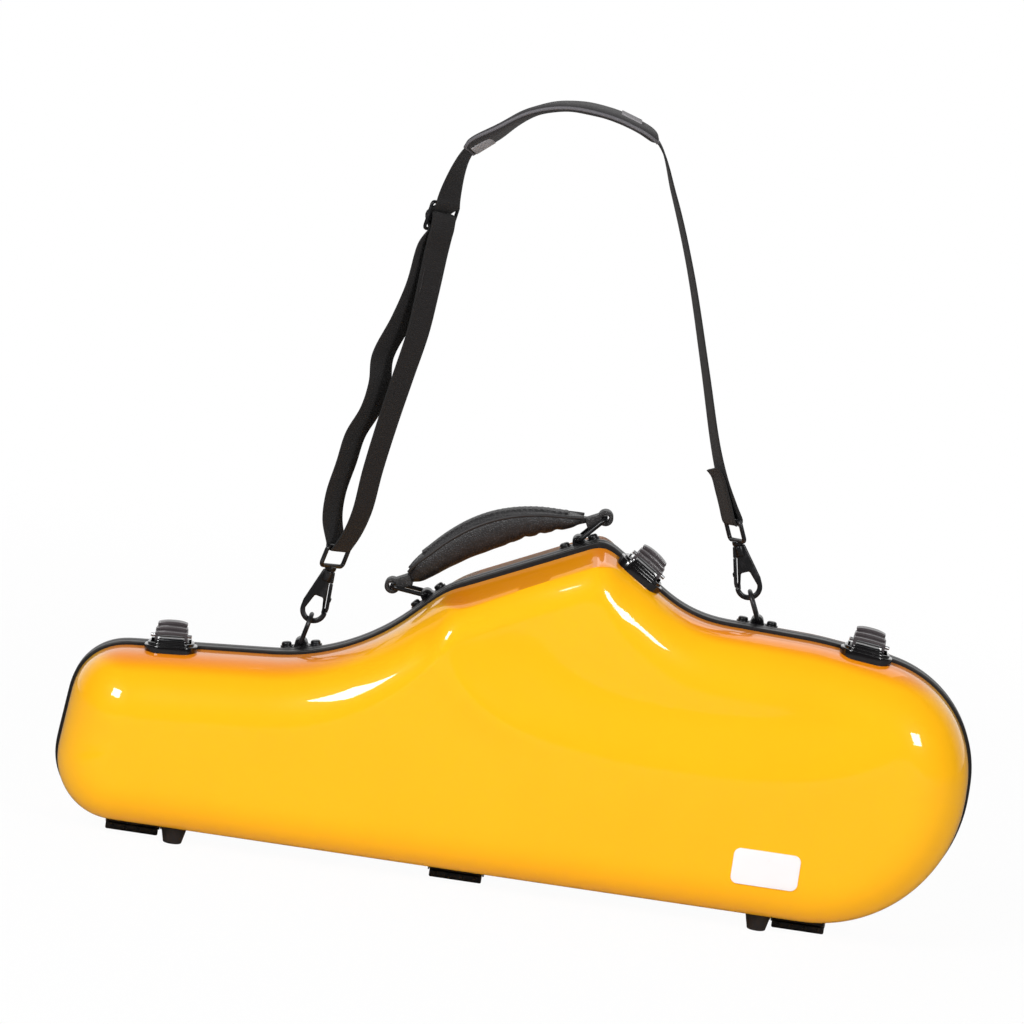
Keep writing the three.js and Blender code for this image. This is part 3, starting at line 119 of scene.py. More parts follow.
@dataclass(frozen=True)
class HalfSizes:
    """One moulded half: which side of the seam it is on, its depth and its lean."""

    side: float
    depth: float
    left_lean: float
    hump_lean: float
    right_lean: float
    has_bell: bool


SIZES = CaseSizes()
LID = HalfSizes(-1.0, 66.0, 0.05, 0.2, 0.05, True)
BASE = HalfSizes(1.0, 95.0, 0.18, 0.09, 0.1, False)

SEAM_CORNERS: Tuple[Corner, ...] = (
    (-0.507, 0.0, 0.182),
    (0.503, 0.0, 0.425),
    (0.5023, 0.7543, 0.332),
    (0.3154, 0.8113, 0.81),
    (0.1725, 0.8231, 0.364),
    (0.066, 1.0081, 0.0526),
    (-0.0985, 0.8016, 0.182),
    (-0.1925, 0.558, 0.62),
    (-0.4877, 0.4951, 0.158),
)
SPINE = ((-0.405, 0.25), (-0.16, 0.25), (0.02, 0.3), (0.2, 0.36), (0.335, 0.4))
HINGE_PLACES = {"left": -0.405, "middle": -0.043, "right": 0.34}
HINGE_AXIS_HEIGHT = 4.2


def datum() -> Vector:
    """Where the case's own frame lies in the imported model, in millimetres.

    Returns:
        The place.
    """
    low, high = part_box("hinge_middle_pin")
    middle = (Vector(low) + Vector(high)) / (2 * MM)
    return middle - Vector((HINGE_PLACES["middle"] * SIZES.length, 0.0, HINGE_AXIS_HEIGHT))


SHIFT = datum()


# The form of the halves


def smoothstep(value: Points) -> Points:
    """A soft step from 0 to 1."""
    t = np.clip(value, 0.0, 1.0)
    return t * t * (3.0 - 2.0 * t)


def periodic_blur(values: Points, sigma: float) -> Points:
    """Softens values that run round a closed loop.

    Args:
        values: one row for each place on the loop.
        sigma: how far it softens, in places.

    Returns:
        The softened rows.
    """
    reach = int(math.ceil(3 * sigma))
    weights = np.exp(-0.5 * (np.arange(-reach, reach + 1) / sigma) ** 2)
    weights /= weights.sum()
    padded = np.concatenate([values[-reach:], values, values[:reach]])
    if padded.ndim == 1:
        return np.convolve(padded, weights, mode="valid")
    columns = [np.convolve(padded[:, k], weights, mode="valid") for k in range(padded.shape[1])]
    return np.stack(columns, axis=1)


class Outline:
    """A polygon in the seam's plane whose corners are rounded."""

    def __init__(self, corners: Sequence[Corner], turn: float, run: float) -> None:
        """Works out the outline's stations.

        Args:
            corners: place along the length, place up the height and radius over the height.
            turn: the largest step round a corner, in degrees.
            run: the longest step along a straight.
        """
        scaled = [
            (np.array([a * SIZES.length, SIZES.seam_height + b * SIZES.height]), r * SIZES.height)
            for a, b, r in corners
        ]
        bends = [self._bend(scaled, k, math.radians(turn)) for k in range(len(scaled))]
        points: List[Points] = []
        for k, arc in enumerate(bends):
            after = bends[(k + 1) % len(bends)]
            points.extend(arc)
            count = max(1, int(math.ceil(np.linalg.norm(after[0] - arc[-1]) / run)))
            points.extend(arc[-1] + (after[0] - arc[-1]) * n / count for n in range(1, count))
        self.at = np.array(points)

    @staticmethod
    def _bend(corners: List[Tuple[Points, float]], k: int, step: float) -> List[Points]:
        """The points of the arc at one corner.

        Args:
            corners: all corners with their radii.
            k: which corner.
            step: the largest step round it, in radians.

        Returns:
            The arc's points.
        """
        here, radius = corners[k]
        before, after = corners[k - 1][0], corners[(k + 1) % len(corners)][0]
        come = (here - before) / np.linalg.norm(here - before)
        go = (after - here) / np.linalg.norm(after - here)
        turn = math.atan2(come[0] * go[1] - come[1] * go[0], float(come @ go))
        start = here - come * radius * math.tan(abs(turn) / 2)
        outward = np.array([come[1], -come[0]])
        side = math.copysign(1.0, turn)
        centre = start - outward * side * radius
        count = max(1, int(math.ceil(abs(turn) / step)))
        arc = []
        for n in range(count + 1):
            c, s = math.cos(turn * n / count), math.sin(turn * n / count)
            normal = np.array([c * outward[0] - s * outward[1], s * outward[0] + c * outward[1]])
            arc.append(centre + normal * side * radius)
        return arc

    def resampled(self, spacing: float, soften: float) -> Tuple[Points, Points]:
        """Evenly spaced places round the outline, with softened curvature.

        Args:
            spacing: the distance between places.
            soften: the blur's reach, in places.

        Returns:
            The places and their outward normals.
        """
        closed = np.vstack([self.at, self.at[:1]])
        along = np.concatenate([[0.0], np.cumsum(np.linalg.norm(np.diff(closed, axis=0), axis=1))])
        count = int(along[-1] / spacing)
        wanted = np.linspace(0.0, along[-1], count, endpoint=False)
        at = np.stack([np.interp(wanted, along, closed[:, k]) for k in range(2)], axis=1)
        at = periodic_blur(at, soften)
        tangent = np.roll(at, -1, axis=0) - np.roll(at, 1, axis=0)
        tangent /= np.linalg.norm(tangent, axis=1)[:, None]
        return at, np.stack([tangent[:, 1], -tangent[:, 0]], axis=1)


COARSE = Outline(SEAM_CORNERS, turn=18.0, run=62.0)
FINE = Outline(SEAM_CORNERS, turn=2.0, run=6.0)
FINE_AT, FINE_NORMAL = FINE.resampled(spacing=2.6, soften=1.7)


@dataclass(frozen=True)
class Bell:
    """The bell-shaped hollow pressed into the lid's face."""

    centre: Tuple[float, float] = (0.185, 0.825)
    reach: Tuple[float, float] = (0.289, 0.418)
    power: float = 2.6
    relief: float = 12.0
    slope: float = 0.45
    lip: float = 2.5
    lip_width: float = 0.08
    hump_end: float = 0.062

    def depth_at(self, x: Points, z: Points) -> Points:
        """How far the face lies back at places of the seam's plane.

        Args:
            x: places along the case.
            z: their heights.

        Returns:
            The distance at each place.
        """
        centre_x = self.centre[0] * SIZES.length
        centre_z = SIZES.seam_height + self.centre[1] * SIZES.height
        aside = np.abs(x - centre_x) / (self.reach[0] * SIZES.length)
        below = np.maximum(0.0, centre_z - z) / (self.reach[1] * SIZES.height)
        inside = 1.0 - (aside**self.power + below**self.power) ** (1.0 / self.power)
        leftward = smoothstep(-x / (self.hump_end * SIZES.length) / 2 + 0.5)
        lip = self.lip * leftward * np.exp(-((inside / self.lip_width) ** 2))
        return self.relief * smoothstep(inside / self.slope) - lip


class HalfForm:
    """The outer form of one moulded half."""

    round_steps = 14
    wall_steps = 4
    face_shares = (0.04, 0.09, 0.15, 0.22)
    face_spacing = 6.0
    rim_clearance = 3.5
    spine_soften = 7.0
    hump_soften = 2.5
    hump = (-0.12, 0.062, 0.045, 0.6)

    def __init__(self, half: HalfSizes) -> None:
        """Takes the half whose form it gives."""
        self.half = half
        self.bell = Bell()

    def relief(self, x: Points, z: Points) -> Points:
        """How far the face lies back from the half's full depth.

        Args:
            x: places along the case.
            z: their heights.

        Returns:
            The distance at each place.
        """
        along = x / (SIZES.length / 2)
        up = (z - SIZES.seam_height - SIZES.height / 2) / (SIZES.height / 2)
        crown = SIZES.crown * (along * along + up * up) / 2
        return crown + (self.bell.depth_at(x, z) if self.half.has_bell else 0.0)

    def hump_share(self, at: Points) -> Points:
        """How much each station belongs to the hump.

        Args:
            at: the stations, in the seam's plane.

        Returns:
            A share from 0 to 1 for each.
        """
        start, end, fade, floor = self.hump
        along = at[:, 0] / SIZES.length
        up = (at[:, 1] - SIZES.seam_height) / SIZES.height
        share = smoothstep((along - start) / fade) * (1.0 - smoothstep((along - end) / fade))
        return np.where(up < floor, 0.0, share)

    def inward(self, at: Points) -> Tuple[Points, Points]:
        """The way from each station to the spine, and how long it is.

        Args:
            at: the stations, in the seam's plane.

        Returns:
            The directions and the lengths.
        """
        spine = np.array([[a * SIZES.length, SIZES.seam_height + b * SIZES.height] for a, b in SPINE])
        x = np.clip(at[:, 0], spine[0, 0], spine[-1, 0])
        target = np.stack([x, np.interp(x, spine[:, 0], spine[:, 1])], axis=1)
        way = periodic_blur(target, self.spine_soften) - at
        length = np.linalg.norm(way, axis=1)
        return way / length[:, None], length

    def placed(self, flat: Points, depth: Points) -> Points:
        """Places over points of the seam's plane, at a depth behind it."""
        return np.stack([flat[:, 0], self.half.side * depth, flat[:, 1]], axis=1)

    def rings(self, edge_depth: float) -> List[Points]:
        """Rings of places from the seam's edge over the round to the face.

        Args:
            edge_depth: how far behind the seam's plane the edge is.

        Returns:
            One array of places for each ring.
        """
        at, normal = FINE_AT, FINE_NORMAL
        inward, length = self.inward(at)
        hump = periodic_blur(self.hump_share(at), self.hump_soften)
        low = np.maximum(0.0, -normal[:, 1])
        radius = SIZES.edge_radius + (SIZES.floor_radius - SIZES.edge_radius) * low
        radius = radius + (SIZES.hump_radius - radius) * hump
        crease = SIZES.hump_crease * hump
        across = smoothstep(at[:, 0] / SIZES.length + 0.5)
        lean = self.half.left_lean + (self.half.right_lean - self.half.left_lean) * across
        lean = lean + (self.half.hump_lean - lean) * hump
        wall = self.half.depth - radius * (1.0 - np.sin(crease))
        reach = lean * wall + radius * np.cos(crease)
        edge = at + inward * reach[:, None]
        stretch = (self.half.depth - self.relief(edge[:, 0], edge[:, 1])) / self.half.depth
        sections = []
        for k in range(self.round_steps + 1):
            turn = crease + (math.pi / 2 - crease) * k / self.round_steps
            step = lean * wall + radius * (np.cos(crease) - np.cos(turn))
            sections.append((step, (self.half.depth - radius * (1.0 - np.sin(turn))) * stretch))
        first = sections[0][1]
        rise = [edge_depth + (first - edge_depth) * n / self.wall_steps for n in range(self.wall_steps)]
        sections = [(lean * wall * depth / first, depth) for depth in rise] + sections
        made = [self.placed(at + inward * step[:, None], depth) for step, depth in sections]
        for share in self.face_shares:
            flat = at + inward * (reach + (length - reach) * share)[:, None]
            made.append(self.placed(flat, self.half.depth - self.relief(flat[:, 0], flat[:, 1])))
        return made

    def face_patch(self, rim: Points) -> Tuple[Points, List[List[int]]]:
        """The face inside the last ring, as places on an even grid joined to the ring.

        Args:
            rim: the last ring of places.

        Returns:
            The places, the ring's first, and the faces between them.
        """
        flat = rim[:, [0, 2]]
        low, high = flat.min(axis=0), flat.max(axis=0)
        inner = []
        for x in np.arange(low[0], high[0], self.face_spacing):
            for z in np.arange(low[1], high[1], self.face_spacing):
                away = np.min(np.hypot(flat[:, 0] - x, flat[:, 1] - z))
                if away > self.rim_clearance and self._inside(flat, x, z):
                    inner.append(Vector((x, z)))
        flat, faces = filled([Vector(p) for p in flat], inner)
        return self.placed(flat, self.half.depth - self.relief(flat[:, 0], flat[:, 1])), faces

    def surface(self, x: float, z: float) -> float:
        """The outer face's place in Y."""
        drop = self.relief(np.array([x]), np.array([z]))[0]
        return self.half.side * (self.half.depth - drop)

    @staticmethod
    def _inside(loop: Points, x: float, z: float) -> bool:
        """Is a place inside a closed loop?

        Args:
            loop: the loop's points.
            x: the place along the case.
            z: its height.

        Returns:
            Whether it is.
        """
        after = np.roll(loop, -1, axis=0)
        crosses = (loop[:, 1] > z) != (after[:, 1] > z)
        rise = np.where(after[:, 1] == loop[:, 1], 1.0, after[:, 1] - loop[:, 1])
        at = loop[:, 0] + (z - loop[:, 1]) * (after[:, 0] - loop[:, 0]) / rise
        return bool(np.count_nonzero(crosses & (x < at)) % 2)


def filled(loop: Sequence[Vector], inner: Sequence[Vector]) -> Tuple[Points, List[List[int]]]:
    """A closed loop filled with triangles through inner points.

    Args:
        loop: the loop's points.
        inner: the points inside it.

    Returns:
        All the points, the loop's first, and the triangles.
    """
    edges = [(k, (k + 1) % len(loop)) for k in range(len(loop))]
    verts, _, faces, _, _, _ = delaunay_2d_cdt([*loop, *inner], edges, [], 1, 1e-6)
    return np.array([[v.x, v.y] for v in verts]), [list(face) for face in faces]


def seam_frame(share: float, y: float = 0.0) -> Matrix:
    """The frame on top of the seam: X along it, Y to the base and Z outwards, in millimetres.

    Args:
        share: its place along the case, as a share of the length.
        y: its place in Y.

    Returns:
        The frame.
    """
    x = share * SIZES.length
    points = COARSE.at
    for p, q in zip(points, np.roll(points, -1, axis=0)):
        if q[0] < p[0] and q[0] < x <= p[0]:
            slope = math.atan2(p[1] - q[1], p[0] - q[0])
            z = p[1] + (q[1] - p[1]) * (p[0] - x) / (p[0] - q[0])
            return Matrix.Translation((x, y, z)) @ Matrix.Rotation(-slope, 4, "Y")
    raise ValueError("the seam has no top there")


def leaning_frame(place: Vector, angle: float, turn: float = 0.0) -> Matrix:
    """A frame whose Z points along a direction in the seam's plane, turned about that Z."""
    lean = Matrix.Rotation(math.pi / 2 - angle, 4, "Y")
    return Matrix.Translation(place) @ lean @ Matrix.Rotation(turn, 4, "Z")


# The bench: meshes made and shaped in millimetres

AXIS_TURNS = {"x": (0.0, math.pi / 2, 0.0), "y": (-math.pi / 2, 0.0, 0.0), "z": (0.0, 0.0, 0.0)}
AXES = {"x": Vector((1, 0, 0)), "y": Vector((0, 1, 0)), "z": Vector((0, 0, 1))}


class Bench:
    """Makes and shapes meshes with Blender's own operators."""

    @staticmethod
    def pick(*pieces: Piece) -> None:
        """Selects these pieces alone, the first of them active.

        Args:
            pieces: the pieces.
        """
        bpy.ops.object.select_all(action="DESELECT")
        for piece in pieces:
            piece.select_set(True)
        bpy.context.view_layer.objects.active = pieces[0]

    @staticmethod
    def mesh(points: Iterable[Sequence[float]], faces: Iterable[Sequence[int]]) -> Piece:
        """A mesh from places and faces.

        Args:
            points: the places.
            faces: the faces, as numbers of places.

        Returns:
            The mesh.
        """
        data = bpy.data.meshes.new("blank")
        data.from_pydata([tuple(float(v) for v in p) for p in points], [], [tuple(f) for f in faces])
        data.update()
        piece = bpy.data.objects.new("blank", data)
        bpy.context.collection.objects.link(piece)
        return piece

    @classmethod
    def edit(cls, piece: Piece, *steps: Callable[[], Any]) -> Piece:
        """Runs steps in edit mode, on all of a piece.

        Args:
            piece: the piece.
            steps: what is done, in order.

        Returns:
            The piece.
        """
        cls.pick(piece)
        bpy.ops.object.mode_set(mode="EDIT")
        bpy.ops.mesh.select_all(action="SELECT")
        for step in steps:
            step()
        bpy.ops.object.mode_set(mode="OBJECT")
        return piece

    @classmethod
    def outward(cls, piece: Piece) -> Piece:
        """Merges doubled points and turns the faces outwards.

        Args:
            piece: the piece.

        Returns:
            The piece.
        """
        return cls.edit(
            piece,
            lambda: bpy.ops.mesh.remove_doubles(threshold=1e-4),
            lambda: bpy.ops.mesh.normals_make_consistent(inside=False),
        )

    @classmethod
    def box(cls, low: Sequence[float], high: Sequence[float]) -> Piece:
        """A box from its lowest to its highest corner.

        Args:
            low: its lowest corner.
            high: its highest corner.

        Returns:
            The box.
        """
        low, high = Vector(low), Vector(high)
        bpy.ops.object.select_all(action="DESELECT")
        bpy.ops.mesh.primitive_cube_add(size=1, location=(low + high) / 2, scale=high - low)
        piece = bpy.context.object
        bpy.ops.object.transform_apply()
        return piece

    @classmethod
    def rod(
        cls,
        axis: str,
        span: Tuple[float, float],
        radius: float,
        sides: int = 24,
        end_radius: Optional[float] = None,
        at: Sequence[float] = (0.0, 0.0, 0.0),
    ) -> Piece:
        """A round rod or cone along an axis.

        Args:
            axis: x, y or z.
            span: where it starts and ends along the axis.
            radius: its radius at the start.
            sides: how many sides it has.
            end_radius: its radius at the end, where that differs.
            at: how far it is moved.

        Returns:
            The rod.
        """
        middle = AXES[axis] * (span[0] + span[1]) / 2 + Vector(at)
        bpy.ops.object.select_all(action="DESELECT")
        bpy.ops.mesh.primitive_cone_add(
            vertices=sides,
            radius1=radius,
            radius2=radius if end_radius is None else end_radius,
            depth=span[1] - span[0],
            location=middle,
            rotation=AXIS_TURNS[axis],
        )
        piece = bpy.context.object
        bpy.ops.object.transform_apply()
        return piece

    @classmethod
    def prism(cls, outline: Sequence[Sequence[float]], axis: str, low: float, high: float) -> Piece:
        """A drawn outline, filled and extruded along y or z.

        Args:
            outline: its points in X and the other axis.
            axis: the axis it is extruded along.
            low: where it starts.
            high: where it ends.

        Returns:
            The closed prism.
        """
        points = [(a, low, b) if axis == "y" else (a, b, low) for a, b in outline]
        piece = cls.mesh(points, [range(len(points))])
        move = {"value": tuple(AXES[axis] * (high - low))}
        return cls.edit(
            piece,
            lambda: bpy.ops.mesh.extrude_region_move(TRANSFORM_OT_translate=move),
            lambda: bpy.ops.mesh.select_all(action="SELECT"),
            lambda: bpy.ops.mesh.normals_make_consistent(inside=False),
        )

    @classmethod
    def modify(cls, piece: Piece, kind: str, **settings: Any) -> Piece:
        """Adds one modifier and applies it.

        Args:
            piece: the piece.
            kind: the modifier's type.
            settings: its settings.

        Returns:
            The piece.
        """
        cls.pick(piece)
        modifier = piece.modifiers.new(kind.lower(), kind)
        for key, value in settings.items():
            setattr(modifier, key, value)
        bpy.ops.object.modifier_apply(modifier=modifier.name)
        return piece

    @classmethod
    def bevel(cls, piece: Piece, width: float, segments: int = 3, angle: float = 32.0) -> Piece:
        """Rounds the edges that are sharper than an angle.

        Args:
            piece: the piece.
            width: how far the round reaches.
            segments: how many steps it has.
            angle: the angle, in degrees.

        Returns:
            The piece.
        """
        return cls.modify(
            piece, "BEVEL", width=width, segments=segments, limit_method="ANGLE",
            angle_limit=math.radians(angle), use_clamp_overlap=True,
        )

    @classmethod
    def combine(cls, piece: Piece, other: Piece, operation: str) -> Piece:
        """Cuts a piece by another, or unites them.

        Args:
            piece: the piece.
            other: the other, which is used up.
            operation: the boolean's kind.

        Returns:
            The piece.
        """
        cls.modify(piece, "BOOLEAN", object=other, operation=operation, solver="EXACT")
        bpy.data.objects.remove(other, do_unlink=True)
        return piece

    @classmethod
    def cut(cls, piece: Piece, *cutters: Piece) -> Piece:
        """Cuts a piece by others.

        Args:
            piece: the piece.
            cutters: the others, which are used up.

        Returns:
            The piece.
        """
        for cutter in cutters:
            cls.combine(piece, cutter, "DIFFERENCE")
        return piece

    @classmethod
    def unite(cls, piece: Piece, *others: Piece) -> Piece:
        """Unites pieces into one solid.

        Args:
            piece: the piece.
            others: the others, which are used up.

        Returns:
            The piece.
        """
        for other in others:
            cls.combine(piece, other, "UNION")
        return piece

    @classmethod
    def join(cls, *pieces: Piece) -> Piece:
        """Puts meshes together in one piece.

        Args:
            pieces: the meshes.

        Returns:
            The first of them.
        """
        cls.pick(*pieces)
        if len(pieces) > 1:
            bpy.ops.object.join()
        return pieces[0]

    @classmethod
    def tube(cls, points: Sequence[Sequence[float]], radius: float, closed: bool, rings: int = 3) -> Piece:
        """Round wire along points.

        Args:
            points: the wire's middle line.
            radius: its radius.
            closed: whether it closes on itself.
            rings: how finely it is round.

        Returns:
            The wire's mesh.
        """
        data = bpy.data.curves.new("wire", "CURVE")
        data.dimensions = "3D"
        spline = data.splines.new("POLY")
        spline.points.add(len(points) - 1)
        for target, point in zip(spline.points, points):
            target.co = (*point, 1.0)
        spline.use_cyclic_u = closed
        data.bevel_depth = radius
        data.bevel_resolution = rings
        data.use_fill_caps = not closed
        piece = bpy.data.objects.new("wire", data)
        bpy.context.collection.objects.link(piece)
        cls.pick(piece)
        bpy.ops.object.convert(target="MESH")
        return cls.outward(bpy.context.object)

    @classmethod
    def loft(cls, rings: Sequence[Sequence], endless: bool = False, caps: bool = True) -> Piece:
        """A skin over rings of matching points.

        Args:
            rings: the rings, all with the same number of points.
            endless: whether the last ring meets the first.
            caps: whether the ends are closed.

        Returns:
            The skin.
        """
        count = len(rings[0])
        points = [p for ring in rings for p in ring]
        faces = []
        for r in range(len(rings) if endless else len(rings) - 1):
            here, after = r * count, ((r + 1) % len(rings)) * count
            for i in range(count):
                j = (i + 1) % count
                faces.append((here + i, here + j, after + j, after + i))
        if caps and not endless:
            faces.append(tuple(reversed(range(count))))
            faces.append(tuple(range((len(rings) - 1) * count, len(rings) * count)))
        return cls.mesh(points, faces)

    @classmethod
    def copy(cls, piece: Piece, moves: Sequence[Matrix]) -> Piece:
        """Puts copies of a piece at several places, as one mesh.

        Args:
            piece: the piece.
            moves: the copies' frames.

        Returns:
            The mesh of all copies.
        """
        made = []
        for move in moves:
            twin = piece.copy()
            twin.data = piece.data.copy()
            bpy.context.collection.objects.link(twin)
            twin.data.transform(move)
            made.append(twin)
        bpy.data.objects.remove(piece, do_unlink=True)
        return cls.join(*made)


def rounded_rectangle(low: Sequence[float], high: Sequence[float], corner: float, steps: int = 6) -> List:
    """The points of a rectangle with round corners.

    Args:
        low: its lowest corner.
        high: its highest corner.
        corner: the corners' radius.
        steps: how many steps each corner has.

    Returns:
        Its points.
    """
    points = []
    for k, (sx, sy) in enumerate(((1, -1), (1, 1), (-1, 1), (-1, -1))):
        cx = (high[0] - corner) if sx > 0 else (low[0] + corner)
        cy = (high[1] - corner) if sy > 0 else (low[1] + corner)
        for n in range(steps + 1):
            turn = -math.pi / 2 + (k + n / steps) * math.pi / 2
            points.append((cx + corner * math.cos(turn), cy + corner * math.sin(turn)))
    return points


def arc(centre: Sequence[float], radius: float, start: float, end: float, steps: int) -> List:
    """Points of an arc."""
    turns = [start + (end - start) * k / steps for k in range(steps + 1)]
    return [(centre[0] + radius * math.cos(t), centre[1] + radius * math.sin(t)) for t in turns]


def interpolated(table: Sequence[Sequence[float]], at: float) -> List[float]:
    """Values of a table's other columns at a place of its first, on a smooth curve.

    Args:
        table: the rows.
        at: the place.

    Returns:
        The other columns' values there.
    """
    rows = np.array(table, float)
    x = rows[:, 0]
    slopes = np.gradient(rows[:, 1:], x, axis=0)
    i = int(np.clip(np.searchsorted(x, at) - 1, 0, len(x) - 2))
    span = x[i + 1] - x[i]
    t = (at - x[i]) / span
    h = (2 * t**3 - 3 * t**2 + 1, t**3 - 2 * t**2 + t, -2 * t**3 + 3 * t**2, t**3 - t**2)
    values = h[0] * rows[i, 1:] + h[2] * rows[i + 1, 1:]
    return list(values + span * (h[1] * slopes[i] + h[3] * slopes[i + 1]))


def spline_through(points: Sequence[Vector], spacing: float, samples: int = 16) -> List[Vector]:
    """Evenly spaced points on a smooth curve through points, its ends included.

    Args:
        points: what the curve goes through.
        spacing: the distance between the points that it gives.
        samples: how many places are worked out between two points.

    Returns:
        The points on the curve.
    """
    fine: List[Vector] = []
    last = len(points) - 1
    for i in range(last):
        near = [points[min(last, max(0, k))] for k in range(i - 1, i + 3)]
        knots = [0.0]
        for a, b in zip(near, near[1:]):
            knots.append(knots[-1] + max(1e-4, (b - a).length) ** 0.5)
        for n in range(samples):
            t = knots[1] + (knots[2] - knots[1]) * n / samples
            row = near
            for spans in (((0, 1), (1, 2), (2, 3)), ((0, 2), (1, 3)), ((1, 2),)):
                shares = [(t - knots[a]) / (knots[b] - knots[a]) for a, b in spans]
                row = [row[k] * (1.0 - s) + row[k + 1] * s for k, s in enumerate(shares)]
            fine.append(row[0])
    fine.append(points[-1].copy())
    steps = np.cumsum([0.0] + [(b - a).length for a, b in zip(fine, fine[1:])])
    wanted = np.linspace(0, steps[-1], max(2, int(steps[-1] / spacing) + 1))
    columns = [np.interp(wanted, steps, [p[k] for p in fine]) for k in range(len(fine[0]))]
    return [Vector(row) for row in zip(*columns)]


# Finishes


class Value:
    """A socket of a material, for use in sums."""

    def __init__(self, paint: "Paint", socket: Any) -> None:
        """Wraps a socket of a paint's nodes."""
        self.paint = paint
        self.socket = socket

    def math(self, operation: str, *others: Any) -> "Value":
        """A Math node on this value and others."""
        return self.paint.node("Math", dict(enumerate((self, *others))), operation=operation)

    def __add__(self, other: Any) -> "Value":
        """A sum."""
        return self.math("ADD", other)

    def __rsub__(self, other: Any) -> "Value":
        """A difference from a number."""
        return self.paint.node("Math", {0: other, 1: self}, operation="SUBTRACT")

    def __mul__(self, other: Any) -> "Value":
        """A product."""
        return self.math("MULTIPLY", other)

    def __truediv__(self, other: Any) -> "Value":
        """A quotient."""
        return self.math("DIVIDE", other)

    def between(self, low: float, high: float) -> "Value":
        """0 at the low value and 1 at the high one, with a soft step."""
        inputs = {"Value": self, "From Min": low, "From Max": high}
        return self.paint.node("MapRange", inputs, interpolation_type="SMOOTHSTEP")

    __radd__ = __add__
    __rmul__ = __mul__


class Paint:
    """A material under construction."""

    def __init__(self, name: str) -> None:
        """Starts a material that has one shader.

        Args:
            name: the material's name.
        """
        self.material = bpy.data.materials.new(name)
        self.material.use_nodes = True
        self.tree = self.material.node_tree
        self.shader = self.tree.nodes["Principled BSDF"]

    def node(self, kind: str, inputs: Optional[Dict] = None, output: Any = 0, **settings: Any) -> Value:
        """Adds a node.

        Args:
            kind: the node's type.
            inputs: the values or links of its sockets.
            output: which of its outputs is wanted.
            settings: its settings, set first.

        Returns:
            The wanted output.
        """
        made = self.tree.nodes.new(f"ShaderNode{kind}")
        for key, value in settings.items():
            setattr(made, key, value)
        for key, value in (inputs or {}).items():
            self.feed(made.inputs[key], value)
        return Value(self, made.outputs[output])

    def feed(self, socket: Any, value: Any) -> None:
        """Links or sets one socket.

        Args:
            socket: the socket.
            value: a value of other nodes, a colour or a number.
        """
        if isinstance(value, Value):
            self.tree.links.new(value.socket, socket)
        elif isinstance(value, tuple) and socket.type == "RGBA":
            socket.default_value = (*value, 1.0)
        else:
            socket.default_value = value

    def place(self) -> Value:
        """Object coordinates, in metres."""
        return self.node("TexCoord", output="Object")

    def sheet(self) -> Tuple[Value, Value]:
        """The piece's own UV map, as two values in millimetres."""
        split = self.node("SeparateXYZ", {0: self.node("TexCoord", output="UV")}, "X")
        return split, Value(self, split.socket.node.outputs["Y"])

    def noise(self, per_metre: float, detail: float = 2.0, rough: float = 0.5, place: Any = None) -> Value:
        """Even noise."""
        inputs = {"Vector": place or self.place(), "Scale": per_metre, "Detail": detail, "Roughness": rough}
        return self.node("TexNoise", inputs)

    def blend(self, share: Any, low: Any, high: Any) -> Value:
        """A colour between two."""
        return self.node("Mix", {0: share, 6: low, 7: high}, 2, data_type="RGBA")

    def bump(self, height: Value, distance: float, strength: float = 1.0, under: Any = None) -> Value:
        """A relief of the surface, in metres, over another where there is one."""
        over = {} if under is None else {"Normal": under}
        return self.node("Bump", {"Height": height, "Distance": distance, "Strength": strength, **over})

    def done(self, **sockets: Any) -> bpy.types.Material:
        """Feeds the shader's sockets, named with _ for spaces.

        Args:
            sockets: what goes into each.

        Returns:
            The material.
        """
        for key, value in sockets.items():
            self.feed(self.shader.inputs[key.replace("_", " ")], value)
        return self.material


@dataclass(frozen=True)
class Gelcoat:
    """Glossy pigmented gelcoat over fibreglass, its upward-facing surfaces blended to a deeper orange as
    painted shade.
    """

    name: str = "gelcoat"
    colour: Corner = (1.0, 0.485, 0.006)
    # deep: the deeper orange that is painted shade on upward-facing surfaces.
    deep: Corner = (0.86, 0.22, 0.002)
    roughness: float = 0.36
    coat: float = 0.9
    coat_roughness: float = 0.035

    def build(self) -> bpy.types.Material:
        """Makes the material.

        Returns:
            The material.
        """
        paint = Paint(self.name)
        cloud = paint.noise(9.0, 3.0)
        speckle = paint.noise(850.0, 2.0)
        scuff = paint.noise(46.0, 6.0, 0.7).between(0.6, 0.78)
        normal = paint.node("TexCoord", output="Normal")
        # Painted shade: surfaces that face up are blended towards the deeper orange, as they face away from
        # the front lamps; cloud and speckle add real mottling.
        rise = paint.node("SeparateXYZ", {0: normal}, "Z").between(0.72, 0.97)
        share = rise * 0.8 + cloud.between(0.35, 0.75) * 0.06 + speckle * 0.04
        colour = paint.blend(share, self.colour, self.deep)
        wave = paint.bump(paint.noise(26.0, 1.0), 0.0002, 0.3)
        return paint.done(
            Base_Color=colour,
            Roughness=self.roughness + scuff * 0.08,
            Coat_Weight=self.coat - scuff * 0.12,
            Coat_Roughness=self.coat_roughness,
            Specular_IOR_Level=0.08,
            Normal=paint.bump(speckle, 0.000006, 0.2, wave),
        )


